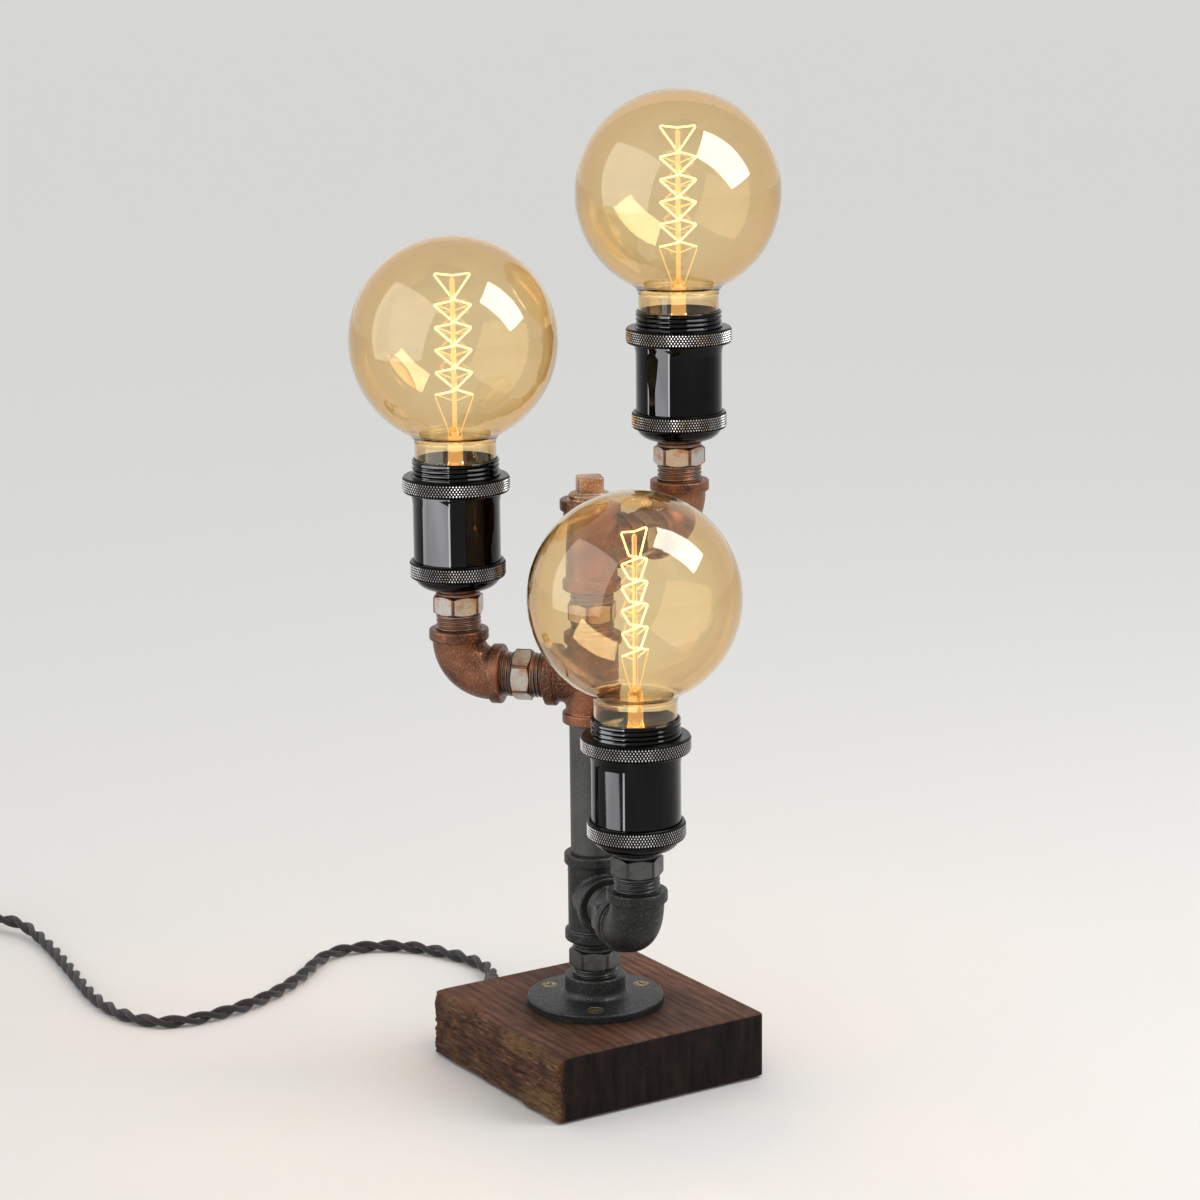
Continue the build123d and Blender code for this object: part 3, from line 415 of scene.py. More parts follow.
def even_line(line, spacing):
    """The same line with points at even steps along it."""
    points, left = [line[0]], spacing
    for start, end in zip(line, line[1:]):
        run = (end - start).length
        while run >= left:
            start = start + (end - start).normalized() * left
            points.append(start)
            run, left = (end - start).length, spacing
        left -= run
    return points + [line[-1]]


cord_line = even_line(smooth_line(route + coil_points + tail_points), CORD_STEP)
cord_length = sum((b - a).length for a, b in zip(cord_line, cord_line[1:]))
cores = bpy.data.curves.new("cores", "CURVE")
cores.dimensions = "3D"
cores.bevel_depth = CORE_RADIUS
cores.bevel_resolution = 2
cores.use_fill_caps = True
for side in (1, -1):
    spline = cores.splines.new("POLY")
    spline.points.add(len(cord_line) - 1)
    travelled = 0.0
    for index, (place, (normal, binormal)) in enumerate(zip(cord_line, carried_frames(cord_line))):
        travelled += (place - cord_line[index - 1]).length if index else 0.0
        phase = 2 * math.pi * travelled / TWIST_PITCH
        offset = (normal * math.cos(phase) + binormal * math.sin(phase)) * CORE_RADIUS * side
        spline.points[index].co = (*(place + offset), 1.0)
cord_mesh = curve_mesh(cores)
cord_mesh.shade_smooth()
braid = cord_mesh.uv_layers[0]
braid.name = "braid"
for corner in braid.data:
    corner.uv = (corner.uv[0] * cord_length / BRAID_PITCH, corner.uv[1] * BRAID_THREADS)
cord_mesh.materials.clear()
cord_mesh.materials.append(TEXTILE)
cord = add_object("twisted_cord", cord_mesh)
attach(cord, "base")
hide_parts("cord", "cord_coil")
print("cord length", round(cord_length, 4), "faces", len(cord_mesh.polygons))

# %% [markdown]
# ## Stage and light
# The lamp stands on a plain pale floor, and an even world fills the shadows. Glossy and transmission rays
# see the same pale background as the camera does, so chrome and glass have something bright to show.

# %% Stage
PALE = (0.88, 0.88, 0.87)
FLOOR_RADIUS = 14.0
FILL_STRENGTH = 0.85
floor_work = bmesh.new()
bmesh.ops.create_circle(floor_work, cap_ends=True, radius=FLOOR_RADIUS, segments=96)
floor_mesh = bpy.data.meshes.new("floor")
floor_work.to_mesh(floor_mesh)
floor_work.free()
floor = add_object("floor", floor_mesh)
floor_mesh.materials.append(new_material("pale_floor", PALE, 0.9)[0])

world = bpy.data.worlds.new("studio")
world.use_nodes = True
bpy.context.scene.world = world
sky = world.node_tree
path = add_node(sky, "ShaderNodeLightPath")
seen = calculate(sky, "MAXIMUM", path.outputs["Is Camera Ray"], path.outputs["Is Glossy Ray"])
seen = calculate(sky, "MAXIMUM", seen, path.outputs["Is Transmission Ray"])
strength = between(sky, seen, 0.0, 1.0, FILL_STRENGTH, 1.0)
set_inputs(sky, sky.nodes["Background"], Color=PALE, Strength=strength)
print("floor radius", FLOOR_RADIUS)

# %% [markdown]
# One soft key light comes from the right and a large dim panel from the left. These two shine on rough
# surfaces only, and the dim one, which stands on the floor, leaves the floor out, so that it draws no edge
# there. What mirrors show is set apart: a bright window near the lamp draws the white patches on the
# globes, and a wide dim panel stands at the left. Black chrome mirrors so little of it that it gets two
# brighter panels of its own, a broad one and a narrow one, by light linking.

# %% Lights
TARGET = Vector((0.0, 0.0, 0.24))
view_turn = camera.matrix_world.to_3x3()


def seen_from_camera(right, away, up):
    """A direction given by how it looks from the camera."""
    level = Vector((-view_turn.col[2].x, -view_turn.col[2].y, 0.0)).normalized()
    return (view_turn.col[0] * right + level * away + Vector((0, 0, up))).normalized()


def panel(name, direction, distance, size, radiance, roll=0.0, mirrored=True, only_for=None):
    """A rectangular softbox that faces the lamp; its power follows from its radiance."""
    data = bpy.data.lights.new(name, "AREA")
    data.shape = "RECTANGLE"
    data.size, data.size_y = size
    data.energy = radiance * math.pi * data.size * data.size_y
    lamp = add_object(name, data)
    facing = direction.to_track_quat("Z", "Y").to_matrix().to_4x4()
    rolled = facing @ Matrix.Rotation(math.radians(roll), 4, "Z")
    lamp.matrix_world = Matrix.Translation(TARGET + direction * distance) @ rolled
    lamp.visible_camera = False
    lamp.visible_diffuse = not mirrored
    lamp.visible_glossy = lamp.visible_transmission = mirrored
    lamp.light_linking.receiver_collection = only_for


panel("key", seen_from_camera(0.8, -0.17, 0.52), 1.25, (0.62, 0.8), 3.4, mirrored=False)
all_but_floor = bpy.data.collections.new("all_but_floor")
all_but_floor.objects.link(floor)
all_but_floor.collection_objects[0].light_linking.link_state = "EXCLUDE"
panel(
    "side", seen_from_camera(-0.75, -0.43, -0.02), 1.32, (0.6, 1.0), 0.9, mirrored=False,
    only_for=all_but_floor,
)
panel("key_window", seen_from_camera(0.643, -0.241, 0.727), 0.5, (0.235, 0.38), 10.0, roll=22)
panel("side_window", seen_from_camera(-0.9, -0.44, 0.4), 0.98, (1.26, 1.2), 1.8)

mirrors = bpy.data.collections.new("black_chrome_pieces")
panel("chrome_window", seen_from_camera(-0.88, -0.48, 0.0), 0.42, (0.62, 0.47), 13.5, only_for=mirrors)
panel("chrome_window_edge", seen_from_camera(-0.43, -0.9, 0.0), 0.42, (0.03, 0.47), 26.0, only_for=mirrors)
print("lights placed")

# %% [markdown]
# ## Iron, steel and chrome
# The fittings are cast iron with a dark oxide skin. Its look comes from three scales of noise: broad
# patches of lighter and darker oxide, a sandy casting grain that also dents the surface, and fine specks
# of bright metal. A Bevel node rounds the edges for the light and, compared with the plain normal, tells
# where an edge is, so that rims shine where hands have rubbed them. The same recipe makes four finishes:
# black, the riser's grey, copper, and the plug's, which wrenches have worn nearly bare.

# %% Iron
def edge_share(tree, radius):
    """About 1 on sharp outer and inner edges and 0 on flat ground, with the rounded normal."""
    soft = add_node(tree, "ShaderNodeBevel", Radius=radius)
    soft.samples = 6
    geometry = add_node(tree, "ShaderNodeNewGeometry")
    agree = calculate(tree, "DOT_PRODUCT", soft.outputs[0], geometry.outputs["Normal"], kind=VECTOR_MATH)
    return between(tree, agree, 0.995, 0.9), soft.outputs[0]


def make_iron(name, nodes, dark, light, speck, worn, roughness, speck_share=0.5):
    """Dresses nodes in cast iron: patches from dark to light, specks, and a rubbed colour on the edges."""
    material, tree, shader = new_material(name, dark, roughness, 0.65)
    place = object_place(tree)
    patches = noise_value(tree, place, 45.0, 4.0, 0.6)
    grain = noise_value(tree, place, 1100.0, 3.0, 0.7)
    pits = noise_value(tree, place, 420.0, 2.0)
    colour = cover(tree, dark, light, patches, 0.38, 0.64)
    specks = calculate(tree, "MULTIPLY", between(tree, grain, 0.53, 0.7), speck_share)
    colour = mix_colours(tree, specks, colour, speck)
    edge, rounded = edge_share(tree, 0.0006)
    rubbed = calculate(tree, "MULTIPLY", edge, between(tree, pits, 0.35, 0.6, 0.25, 0.9))
    sandy = bump(tree, pits, 0.00022, 0.8, below=rounded)
    set_inputs(
        tree, shader, Base_Color=mix_colours(tree, rubbed, colour, worn),
        Roughness=between(tree, grain, 0.3, 0.7, roughness + 0.1, roughness - 0.08),
        Normal=bump(tree, grain, 0.0001, 0.8, below=sandy),
    )
    dress(material, *nodes)


make_iron(
    "black_iron", ("floor_flange", "lower_tee", "lower_elbow"),
    (0.011, 0.0118, 0.0116), (0.027, 0.029, 0.028), (0.13, 0.135, 0.13), (0.28, 0.29, 0.28), 0.44,
)
make_iron(
    "riser_iron", ("riser_pipe",),
    (0.05, 0.053, 0.051), (0.085, 0.088, 0.085), (0.19, 0.19, 0.18), (0.3, 0.3, 0.29), 0.5, 0.35,
)
make_iron(
    "copper_iron", ("middle_tee", "upper_tee", "middle_elbow", "upper_elbow"),
    (0.05, 0.021, 0.013), (0.21, 0.085, 0.044), (0.56, 0.25, 0.12), (0.62, 0.35, 0.22), 0.38, 0.6,
)
make_iron(
    "worn_plug", ("top_plug",),
    (0.16, 0.08, 0.045), (0.42, 0.27, 0.17), (0.7, 0.58, 0.42), (0.78, 0.68, 0.52), 0.36, 0.7,
)
print("iron fittings dressed")

# %% [markdown]
# The lampholders are black chrome: nearly a mirror, so its colour is dark, its roughness low and its only
# texture a trace of polishing marks and dust. The knurled rings are the same chrome, but each tooth is
# rubbed to bare metal, so their colour reads an attribute that says how high a point stands.

# %% Chrome
def make_chrome(name, base, roughness):
    material, tree, shader = new_material(name, base, roughness, 1.0)
    dust = noise_value(tree, object_place(tree), 220.0, 5.0, 0.7)
    smears = noise_value(tree, object_place(tree, (1, 1, 0.15)), 90.0)
    faded = tuple(channel * 1.4 + 0.002 for channel in base)
    set_inputs(
        tree, shader, Base_Color=cover(tree, base, faded, smears, 0.4, 0.75),
        Roughness=between(tree, dust, 0.35, 0.8, roughness, roughness + 0.045),
    )
    return material


def make_knurl(name, valley, tooth):
    material, tree, shader = new_material(name, tooth, 0.22, 1.0)
    height = add_node(tree, "ShaderNodeAttribute")
    height.attribute_name = "height"
    wear = noise_value(tree, object_place(tree), 260.0)
    tip = between(tree, height.outputs["Fac"], 0.35, 0.68)
    share = calculate(tree, "MULTIPLY", tip, between(tree, wear, 0.3, 0.65, 0.6, 1.0))
    set_inputs(
        tree, shader, Base_Color=mix_colours(tree, share, valley, tooth),
        Roughness=between(tree, share, 0.0, 1.0, 0.3, 0.14),
    )
    return material


CHROME = make_chrome("black_chrome", (0.013, 0.013, 0.0135), 0.025)
KNURL = make_knurl("knurled_chrome", (0.006, 0.006, 0.006), (0.6, 0.59, 0.57))
print("chrome ready")

# %% [markdown]
# ## Places on the arms
# Each arm's level axis and its upright axis follow from the box of its shade ring, whose underside stands
# a known height above the level axis. Pieces of an arm are modelled in millimetres about the upright
# axis, with the level axis at height zero, and one matrix takes them there.

# %% Arm places
ARMS = ("lower", "middle", "upper")
SHADE_RING_BOTTOM = 85.3
UNIT = Matrix.Scale(MM, 4)


def on_arms(piece):
    return [f"{arm}_{piece}" for arm in ARMS]


def arm_place(arm):
    low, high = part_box(f"{arm}_shade_ring")
    middle = (low + high) / 2
    return Matrix.Translation((middle.x, middle.y, low.z - SHADE_RING_BOTTOM * MM))


def arm_direction(arm):
    place = arm_place(arm).translation
    return math.atan2(place.y, place.x)


for arm in ARMS:
    axis_height = round(arm_place(arm).translation.z, 4)
    print(arm, "axis height", axis_height, "at", round(math.degrees(arm_direction(arm))))

# %% [markdown]
# ## Knurled rings
# A knurl is two sets of crossing grooves rolled into the rim. The ring's outline is spun in many small
# steps, and the rim's points are raised in a checkerboard. Each rim quad is then split along the diagonal
# between its two low corners, so that each raised point becomes a little pyramid. A hundred and four
# teeth go round in each of the inner rows, and every second row is set off by half a tooth.

# %% Knurled rings
TEETH = 104
KNURL_ROWS = 6
KNURL_DEPTH = 0.5
KNURL_CHAMFER = 0.4
EASED_EDGE = 0.3
CLAMP_RING = (20.1, 22.2, 45.5, 7.8)  # inner and outer radius, underside, height
SHADE_RING = (20.13, 24.7, SHADE_RING_BOTTOM, 7.3)


def knurled_ring(node, arm, body, inner, outer, bottom, height):
    """A knurled ring that stands for a plain one."""
    work = bmesh.new()
    tall = work.verts.layers.float.new("height")
    top = bottom + height
    root = outer - KNURL_DEPTH
    rim_low = bottom + KNURL_CHAMFER
    row_height = (height - 2 * KNURL_CHAMFER) / KNURL_ROWS
    outline = [(inner, bottom + EASED_EDGE), (inner + EASED_EDGE, bottom), (root - KNURL_CHAMFER, bottom)]
    outline += [(root, rim_low + row * row_height) for row in range(KNURL_ROWS + 1)]
    outline += [(root - KNURL_CHAMFER, top), (inner + EASED_EDGE, top), (inner, top - EASED_EDGE), outline[0]]
    turn_profile(work, outline, steps=2 * TEETH)
    for vertex in work.verts:
        radius = vertex.co.to_2d().length
        row = (vertex.co.z - rim_low) / row_height
        if abs(radius - root) > 0.01 or not 0.5 < row < KNURL_ROWS - 0.5:
            continue
        column = round(math.atan2(vertex.co.y, vertex.co.x) * TEETH / math.pi)
        if (column + round(row)) % 2 == 0:
            vertex.co.xy *= outer / radius
            vertex[tall] = 1.0
    for face in list(work.faces):
        raised = [index for index, vertex in enumerate(face.verts) if vertex[tall] > 0.5]
        if len(face.verts) == 4 and raised:
            corner = raised[0]
            bmesh.utils.face_split(face, face.verts[corner - 1], face.verts[(corner + 1) % 4])
    place = arm_place(arm) @ UNIT
    finish_piece(f"{node}_knurled", work, body, KNURL, place, sharp=25.0, hides=(node,))


for arm in ARMS:
    knurled_ring(f"{arm}_clamp_ring", arm, f"{arm}_arm", *CLAMP_RING)
    knurled_ring(f"{arm}_shade_ring", arm, f"{arm}_ring", *SHADE_RING)
print("knurled teeth", TEETH)

# %% [markdown]
# ## Lampholder shells
# The shell is a thin tube, polished so well that every flat reflection shows, so its outline is spun in
# many steps. It flares a little under the shade ring. Above the ring its collar has a coarse screw thread:
# the collar is spun as a plain tube first, then each point moves in by its place on the screw.

# %% Lampholder shells
def cut_thread(work, low, high, root, crest, pitch, fade=0.8, flat=0.16):
    """Moves the outer points between two heights into the ridges of a screw thread."""
    for vertex in work.verts:
        radius = vertex.co.to_2d().length
        if not low - 0.01 < vertex.co.z < high + 0.01 or abs(radius - crest) > 0.02:
            continue
        turned = math.atan2(vertex.co.y, vertex.co.x) / (2 * math.pi)
        phase = (vertex.co.z / pitch - turned) % 1.0
        rise = min(max((0.5 - abs(phase - 0.5)) * 2 / (1 - flat), 0.0), 1.0)
        ends = min(vertex.co.z - low, high - vertex.co.z) / fade
        depth = (1 - rise) * (crest - root) * min(max(ends, 0.0), 1.0)
        vertex.co.xy *= (radius - depth) / radius


def rows(radius, low, high, step):
    """Outline points up a straight side, about one step apart."""
    count = max(1, round((high - low) / step))
    return [(radius, low + (high - low) * row / count) for row in range(count + 1)]


SHELL_RADIUS, SHELL_BORE = 20.05, 18.95
SHELL_FOOT, FLARE_TOP, COLLAR_FOOT, COLLAR_TOP = 49.4, 85.25, 86.2, 99.9
COLLAR_ROOT, COLLAR_PITCH = 19.5, 2.1


def lampholder_shell(arm):
    """A holder's tube with its flare and threaded collar."""
    work = bmesh.new()
    outline = [(SHELL_BORE, SHELL_FOOT), (SHELL_RADIUS, SHELL_FOOT), (SHELL_RADIUS, 79.6), (20.18, 80.9)]
    outline += [(20.4, 82.4), (20.75, 83.9), (20.95, 84.7), (20.95, FLARE_TOP)]
    outline += [*rows(SHELL_RADIUS, FLARE_TOP, COLLAR_TOP, 0.26), (19.7, 100.4), (19.2, 100.4)]
    outline += [(SHELL_BORE, 100.1), outline[0]]
    turn_profile(work, outline, steps=144)
    cut_thread(work, COLLAR_FOOT, COLLAR_TOP, COLLAR_ROOT, SHELL_RADIUS, COLLAR_PITCH)
    place = arm_place(arm) @ UNIT
    piece = finish_piece(
        f"{arm}_shell", work, f"{arm}_arm", CHROME, place, sharp=32.0,
        hides=(f"{arm}_holder_shell",),
    )
    mirrors.objects.link(piece)


for arm in ARMS:
    lampholder_shell(arm)
    dress(CHROME, f"{arm}_holder_cap")
    mirrors.objects.link(frame["nodes"][f"{arm}_holder_cap"])
print("shells done")

# %% [markdown]
# ## Hex nipples
# A hex nipple is a hexagonal bar turned down and threaded at both ends. A wrench has rubbed the oxide off
# its flats, so the steel's recipe reads an attribute that says which faces are bare metal.

# %% Nipple steel
def make_nipple_steel(name, oxide, oxide_light, steel, tint, steel_share):
    """Oxide that turns to bare steel on the flats and the edges."""
    material, tree, shader = new_material(name, oxide, 0.4, 0.8)
    flats = add_node(tree, "ShaderNodeAttribute")
    flats.attribute_name = "bare"
    place = object_place(tree)
    patches = noise_value(tree, place, 130.0, 4.0, 0.65)
    scratches = noise_value(tree, object_place(tree, (1.0, 1.0, 0.06)), 2600.0, 2.0)
    grain = noise_value(tree, place, 1300.0, 2.0)
    edge, rounded = edge_share(tree, 0.0004)
    dark = cover(tree, oxide, oxide_light, patches, 0.35, 0.65)
    bright = cover(tree, steel, tint, patches, 0.45, 0.62)
    bare = calculate(tree, "MULTIPLY", flats.outputs["Fac"], steel_share)
    share = calculate(tree, "MAXIMUM", bare, calculate(tree, "MULTIPLY", edge, 0.75))
    marks = bump(tree, scratches, 0.00005, 0.6, below=rounded)
    set_inputs(
        tree, shader, Base_Color=mix_colours(tree, share, dark, bright),
        Roughness=between(tree, grain, 0.3, 0.7, 0.42, 0.26),
        Normal=bump(tree, grain, 0.00006, 0.6, below=marks),
    )
    return material


DARK_NIPPLE = make_nipple_steel(
    "dark_nipple", (0.02, 0.021, 0.021), (0.05, 0.05, 0.05), (0.15, 0.155, 0.15), (0.08, 0.085, 0.08), 0.55
)
COPPER_NIPPLE = make_nipple_steel(
    "copper_nipple", (0.06, 0.024, 0.014), (0.19, 0.078, 0.04), (0.52, 0.5, 0.46), (0.42, 0.25, 0.16), 0.88
)
print("steels ready")

# %% [markdown]
# Spun steps make the bar's outline: where the hexagon is, each point moves in to the flat of its side, or
# further in where the turned chamfer cuts the corners off. The threads are cut as on the collar.

# %% Hex nipples
HEX_FLAT = 10.6
HEX_LENGTH = 8.8
THREAD_CREST, THREAD_ROOT, THREAD_PITCH, THREAD_STEP = 10.4, 9.45, 1.814, 0.28
NECK_LENGTH, THREAD_START = 0.3, 0.35
NIPPLE_BORE = 7.9
CHAMFER_ROWS = 5
CHAMFER_SLOPE = 0.6


def add_nipple(work, place, below, above, buried=3.0):
    """A hex nipple whose hexagon starts at height zero, added to the bmesh and moved to its place."""
    old = set(work.verts)
    lower_thread = (-below - buried, -THREAD_START)
    upper_thread = (HEX_LENGTH + THREAD_START, HEX_LENGTH + above + buried)
    corner = HEX_FLAT / math.cos(math.radians(30))
    chamfer = (corner - HEX_FLAT) * CHAMFER_SLOPE
    edge_rows = [chamfer * row / CHAMFER_ROWS for row in range(CHAMFER_ROWS + 1)]
    outline = [(NIPPLE_BORE, lower_thread[0]), *rows(THREAD_CREST, *lower_thread, THREAD_STEP)]
    outline += [(THREAD_ROOT, -NECK_LENGTH), (THREAD_ROOT, 0.0)]
    outline += [(corner, height) for height in edge_rows]
    outline += [(corner, HEX_LENGTH - height) for height in reversed(edge_rows)]
    outline += [(THREAD_ROOT, HEX_LENGTH), (THREAD_ROOT, HEX_LENGTH + NECK_LENGTH)]
    outline += [*rows(THREAD_CREST, *upper_thread, THREAD_STEP), (NIPPLE_BORE, upper_thread[1]), outline[0]]
    turn_profile(work, outline)
    new = [vertex for vertex in work.verts if vertex not in old]
    bare = work.faces.layers.float.get("bare") or work.faces.layers.float.new("bare")
    sides = set()
    for vertex in new:
        radius = vertex.co.to_2d().length
        if radius < THREAD_CREST + 0.5:
            continue
        turn = (math.atan2(vertex.co.y, vertex.co.x) + math.radians(30)) % math.radians(60)
        flat = HEX_FLAT / math.cos(turn - math.radians(30))
        ends = min(vertex.co.z, HEX_LENGTH - vertex.co.z)
        cone = HEX_FLAT - 0.15 + ends / CHAMFER_SLOPE
        vertex.co.xy *= min(flat, cone) / radius
        if flat <= cone + 0.02:
            sides.add(vertex)
    for face in {face for vertex in sides for face in vertex.link_faces}:
        if all(vertex in sides for vertex in face.verts):
            face[bare] = 1.0
    for start, end in (lower_thread, upper_thread):
        cut_thread(work, start, end, THREAD_ROOT, THREAD_CREST, THREAD_PITCH)
    bmesh.ops.recalc_face_normals(work, faces=work.faces)
    bmesh.ops.transform(work, matrix=place, verts=new)


def level_place(arm, along):
    """Height along an arm's level axis, with a flat facing sideways."""
    outward = arm_direction(arm)
    axis = Vector((math.cos(outward), math.sin(outward), 0.0))
    sideways = axis.cross(Vector((0, 0, 1)))
    turn = Matrix((sideways, axis.cross(sideways), axis)).transposed().to_4x4()
    centre = axis * along * MM + Vector((0, 0, arm_place(arm).translation.z))
    return Matrix.Translation(centre) @ turn @ UNIT


def stem_place(height, turn):
    return Matrix.Translation((0, 0, height)) @ Matrix.Rotation(math.radians(turn), 4, "Z") @ UNIT


def finish_nipples(name, work, body, copper):
    slot, steel = ("copper_iron", COPPER_NIPPLE) if copper else ("black_iron", DARK_NIPPLE)
    hides = (name.replace("_hex", ""),)
    finish_piece(name, work, body, steel, sharp=30.0, outwards=False, hides=hides)


FITTING_REACH = 21.0
LEVEL_SHOWN, UPRIGHT_SHOWN = (6.4, 5.3), (7.2, 2.9)  # thread below and above the hexagon
BASE_SHOWN, LINK_SHOWN = (3.7, 4.5), (5.85, 5.85)
HEX_TURNS = {"lower": 246.0, "middle": 258.0, "upper": 231.0, "base": 238.0, "link": 258.0}
for arm in ARMS:
    work = bmesh.new()
    add_nipple(work, level_place(arm, FITTING_REACH + LEVEL_SHOWN[0]), *LEVEL_SHOWN)
    upright = arm_place(arm) @ Matrix.Translation((0, 0, (FITTING_REACH + UPRIGHT_SHOWN[0]) * MM))
    turn = Matrix.Rotation(math.radians(HEX_TURNS[arm]), 4, "Z")
    add_nipple(work, upright @ turn @ UNIT, *UPRIGHT_SHOWN)
    finish_nipples(f"{arm}_hex_nipples", work, f"{arm}_arm", arm != "lower")

for name, body, below, shown in (
    ("base", "base", "floor_flange", BASE_SHOWN), ("link", "middle_arm", "middle_tee", LINK_SHOWN)
):
    work = bmesh.new()
    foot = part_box(below)[1].z + shown[0] * MM
    add_nipple(work, stem_place(foot, HEX_TURNS[name]), *shown)
    finish_nipples(f"{name}_hex_nipple", work, body, name == "link")
print("nipples done")

# %% [markdown]
# ## Brass, porcelain and wires
# The bulb's cap and the screws are brass, the socket's cup is glazed porcelain, and the wires, the switch
# and the plug are plastic. They show little, so one short recipe serves them all: a colour, a little
# variation and the right gloss.

# %% Small finishes
def make_plain(name, nodes, base, other, roughness, metallic=0.0, scale=300.0, dents=0.00004):
    """Dresses nodes in two cloudy colours."""
    material, tree, shader = new_material(name, base, roughness, metallic)
    place = object_place(tree)
    cloud = noise_value(tree, place, scale, 4.0, 0.6)
    fine = noise_value(tree, place, scale * 9, 2.0)
    _, rounded = edge_share(tree, 0.0004)
    set_inputs(
        tree, shader, Base_Color=cover(tree, base, other, cloud, 0.35, 0.65),
        Roughness=between(tree, cloud, 0.3, 0.7, roughness, min(roughness + 0.12, 1.0)),
        Normal=bump(tree, fine, dents, 0.7, below=rounded),
    )
    dress(material, *nodes)
    return material


CUPS, CONTACTS, WIRES = on_arms("socket_insert"), on_arms("socket_contacts"), on_arms("wires")
make_plain("brass", on_arms("bulb_cap"), (0.7, 0.47, 0.18), (0.5, 0.32, 0.13), 0.28, 1.0)
make_plain("porcelain", CUPS, (0.8, 0.78, 0.72), (0.72, 0.69, 0.62), 0.18, scale=60.0)
make_plain(
    "felt", ["base_pad"], (0.018, 0.018, 0.018), (0.035, 0.033, 0.031), 0.95, scale=900.0, dents=0.0003
)
make_plain("wire_insulation", ["supply_wires", *WIRES], (0.42, 0.25, 0.12), (0.34, 0.2, 0.1), 0.4)
make_plain("terminal_plastic", ["terminal_block"], (0.72, 0.71, 0.68), (0.64, 0.63, 0.6), 0.45)
make_plain(
    "black_plastic", ["switch_base", "switch_cover", "plug_body"],
    (0.016, 0.016, 0.017), (0.024, 0.024, 0.025), 0.34, scale=500.0,
)
make_plain(
    "rocker_plastic", ["switch_rocker"], (0.03, 0.03, 0.031), (0.04, 0.04, 0.04), 0.3, scale=500.0
)
make_plain("nickel", ["plug_pins", *CONTACTS], (0.62, 0.6, 0.56), (0.52, 0.5, 0.47), 0.22, 1.0)
make_plain("old_brass", ["flange_screws"], (0.34, 0.26, 0.12), (0.13, 0.1, 0.055), 0.34, 1.0)
RUBBER = make_plain("black_rubber", [], (0.014, 0.014, 0.014), (0.022, 0.022, 0.021), 0.62, dents=0.00008)
print("finishes done")

# %% [markdown]
# ## Glass and filament
# The globes are blown in amber glass: Principled glass with full transmission, whose colour is taken up a
# little at each of the wall's surfaces, so the light that crosses both walls turns honey brown. Towards
# the rim, where light crosses more glass, a Layer Weight node deepens the tint. The filament glows: its
# colour is strong enough to clip to a pale yellow. The clear stem, rod and hooks inside are given a faint
# warm emission, a painted glow that stands for the filament's light falling on them. The globes cast no
# shadow of their own, as thin glass hardly does.

# %% Glass
AMBER_MIDDLE, AMBER_RIM = (0.95, 0.82, 0.58), (0.77, 0.51, 0.2)
GLASS_IOR = 1.5


def make_glass(name, tint):
    material, tree, shader = new_material(name, tint, 0.0)
    set_inputs(tree, shader, Transmission_Weight=1.0, IOR=GLASS_IOR)
    return material, tree, shader


AMBER, tree, shader = make_glass("amber_glass", AMBER_MIDDLE)
slant = add_node(tree, "ShaderNodeLayerWeight", Blend=0.5)
honey = cover(tree, AMBER_MIDDLE, AMBER_RIM, slant.outputs["Facing"], 0.15, 0.8)
waves = noise_value(tree, object_place(tree), 22.0, 1.0)
set_inputs(tree, shader, Base_Color=honey, Normal=bump(tree, waves, 0.0004, 0.35))
CLEAR_WITH_PAINTED_GLOW, tree, shader = make_glass("clear_glass", (0.99, 0.96, 0.9))
# Painted glow: the clear mount is no lamp, and its weak warm emission stands for the filament's light falling
# on it.
set_inputs(tree, shader, Emission_Color=(1.0, 0.55, 0.16), Emission_Strength=0.32)
GLOW, tree, shader = new_material("glowing_wire", (1.0, 0.55, 0.15), 0.5)
set_inputs(tree, shader, Emission_Color=(1.0, 0.72, 0.34), Emission_Strength=3.0)
for part, material in (("glass", AMBER), ("mount", CLEAR_WITH_PAINTED_GLOW), ("filament", GLOW)):
    for name in on_arms(f"bulb_{part}"):
        dress(material, name)
        frame["nodes"][name].visible_shadow = False
print("glass done")

# %% [markdown]
# ## The wooden block
# The block is a slice of stained walnut: planed on top, sawn at the front, and on its left side left as
# rough as the saw tore it. A bevelled cube gives the softened edges, and `bmesh.ops.bisect_plane` slices
# it into a fine grid on the rough side. There each point moves in by layered noise that is stretched
# along the grain, and the top's edge crumbles where a second noise is strong.

# %% Block shape
BLOCK_LOW, BLOCK_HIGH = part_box("wood_base")
ROUGH_DEPTH = 0.0032
ROUGH_REACH = 0.010
CORNER_RADIUS, TOP_EDGE = 0.003, 0.0012
ROW_LENGTH, LAYER_HEIGHT, FAR_STEP = 0.001, 0.00085, 0.008
NEAR_CUTS = (0.001, 0.002, 0.0035, 0.005, 0.0075, 0.01, 0.014, 0.022)
CHIP_HEIGHT, CHIP_DEPTH, CHIP_SHIFT = 0.006, 0.0022, 0.0016
WORN_CORNER, WORN_DEPTH = 0.009, 0.0016


def slice_grid(work, axis, places):
    """Cuts the whole mesh across one axis at each place."""
    normal = [0.0, 0.0, 0.0]
    normal[axis] = 1.0
    for place in places:
        point = [0.0, 0.0, 0.0]
        point[axis] = place
        geometry = [*work.verts, *work.edges, *work.faces]
        bmesh.ops.bisect_plane(work, geom=geometry, plane_co=point, plane_no=normal, dist=1e-7)


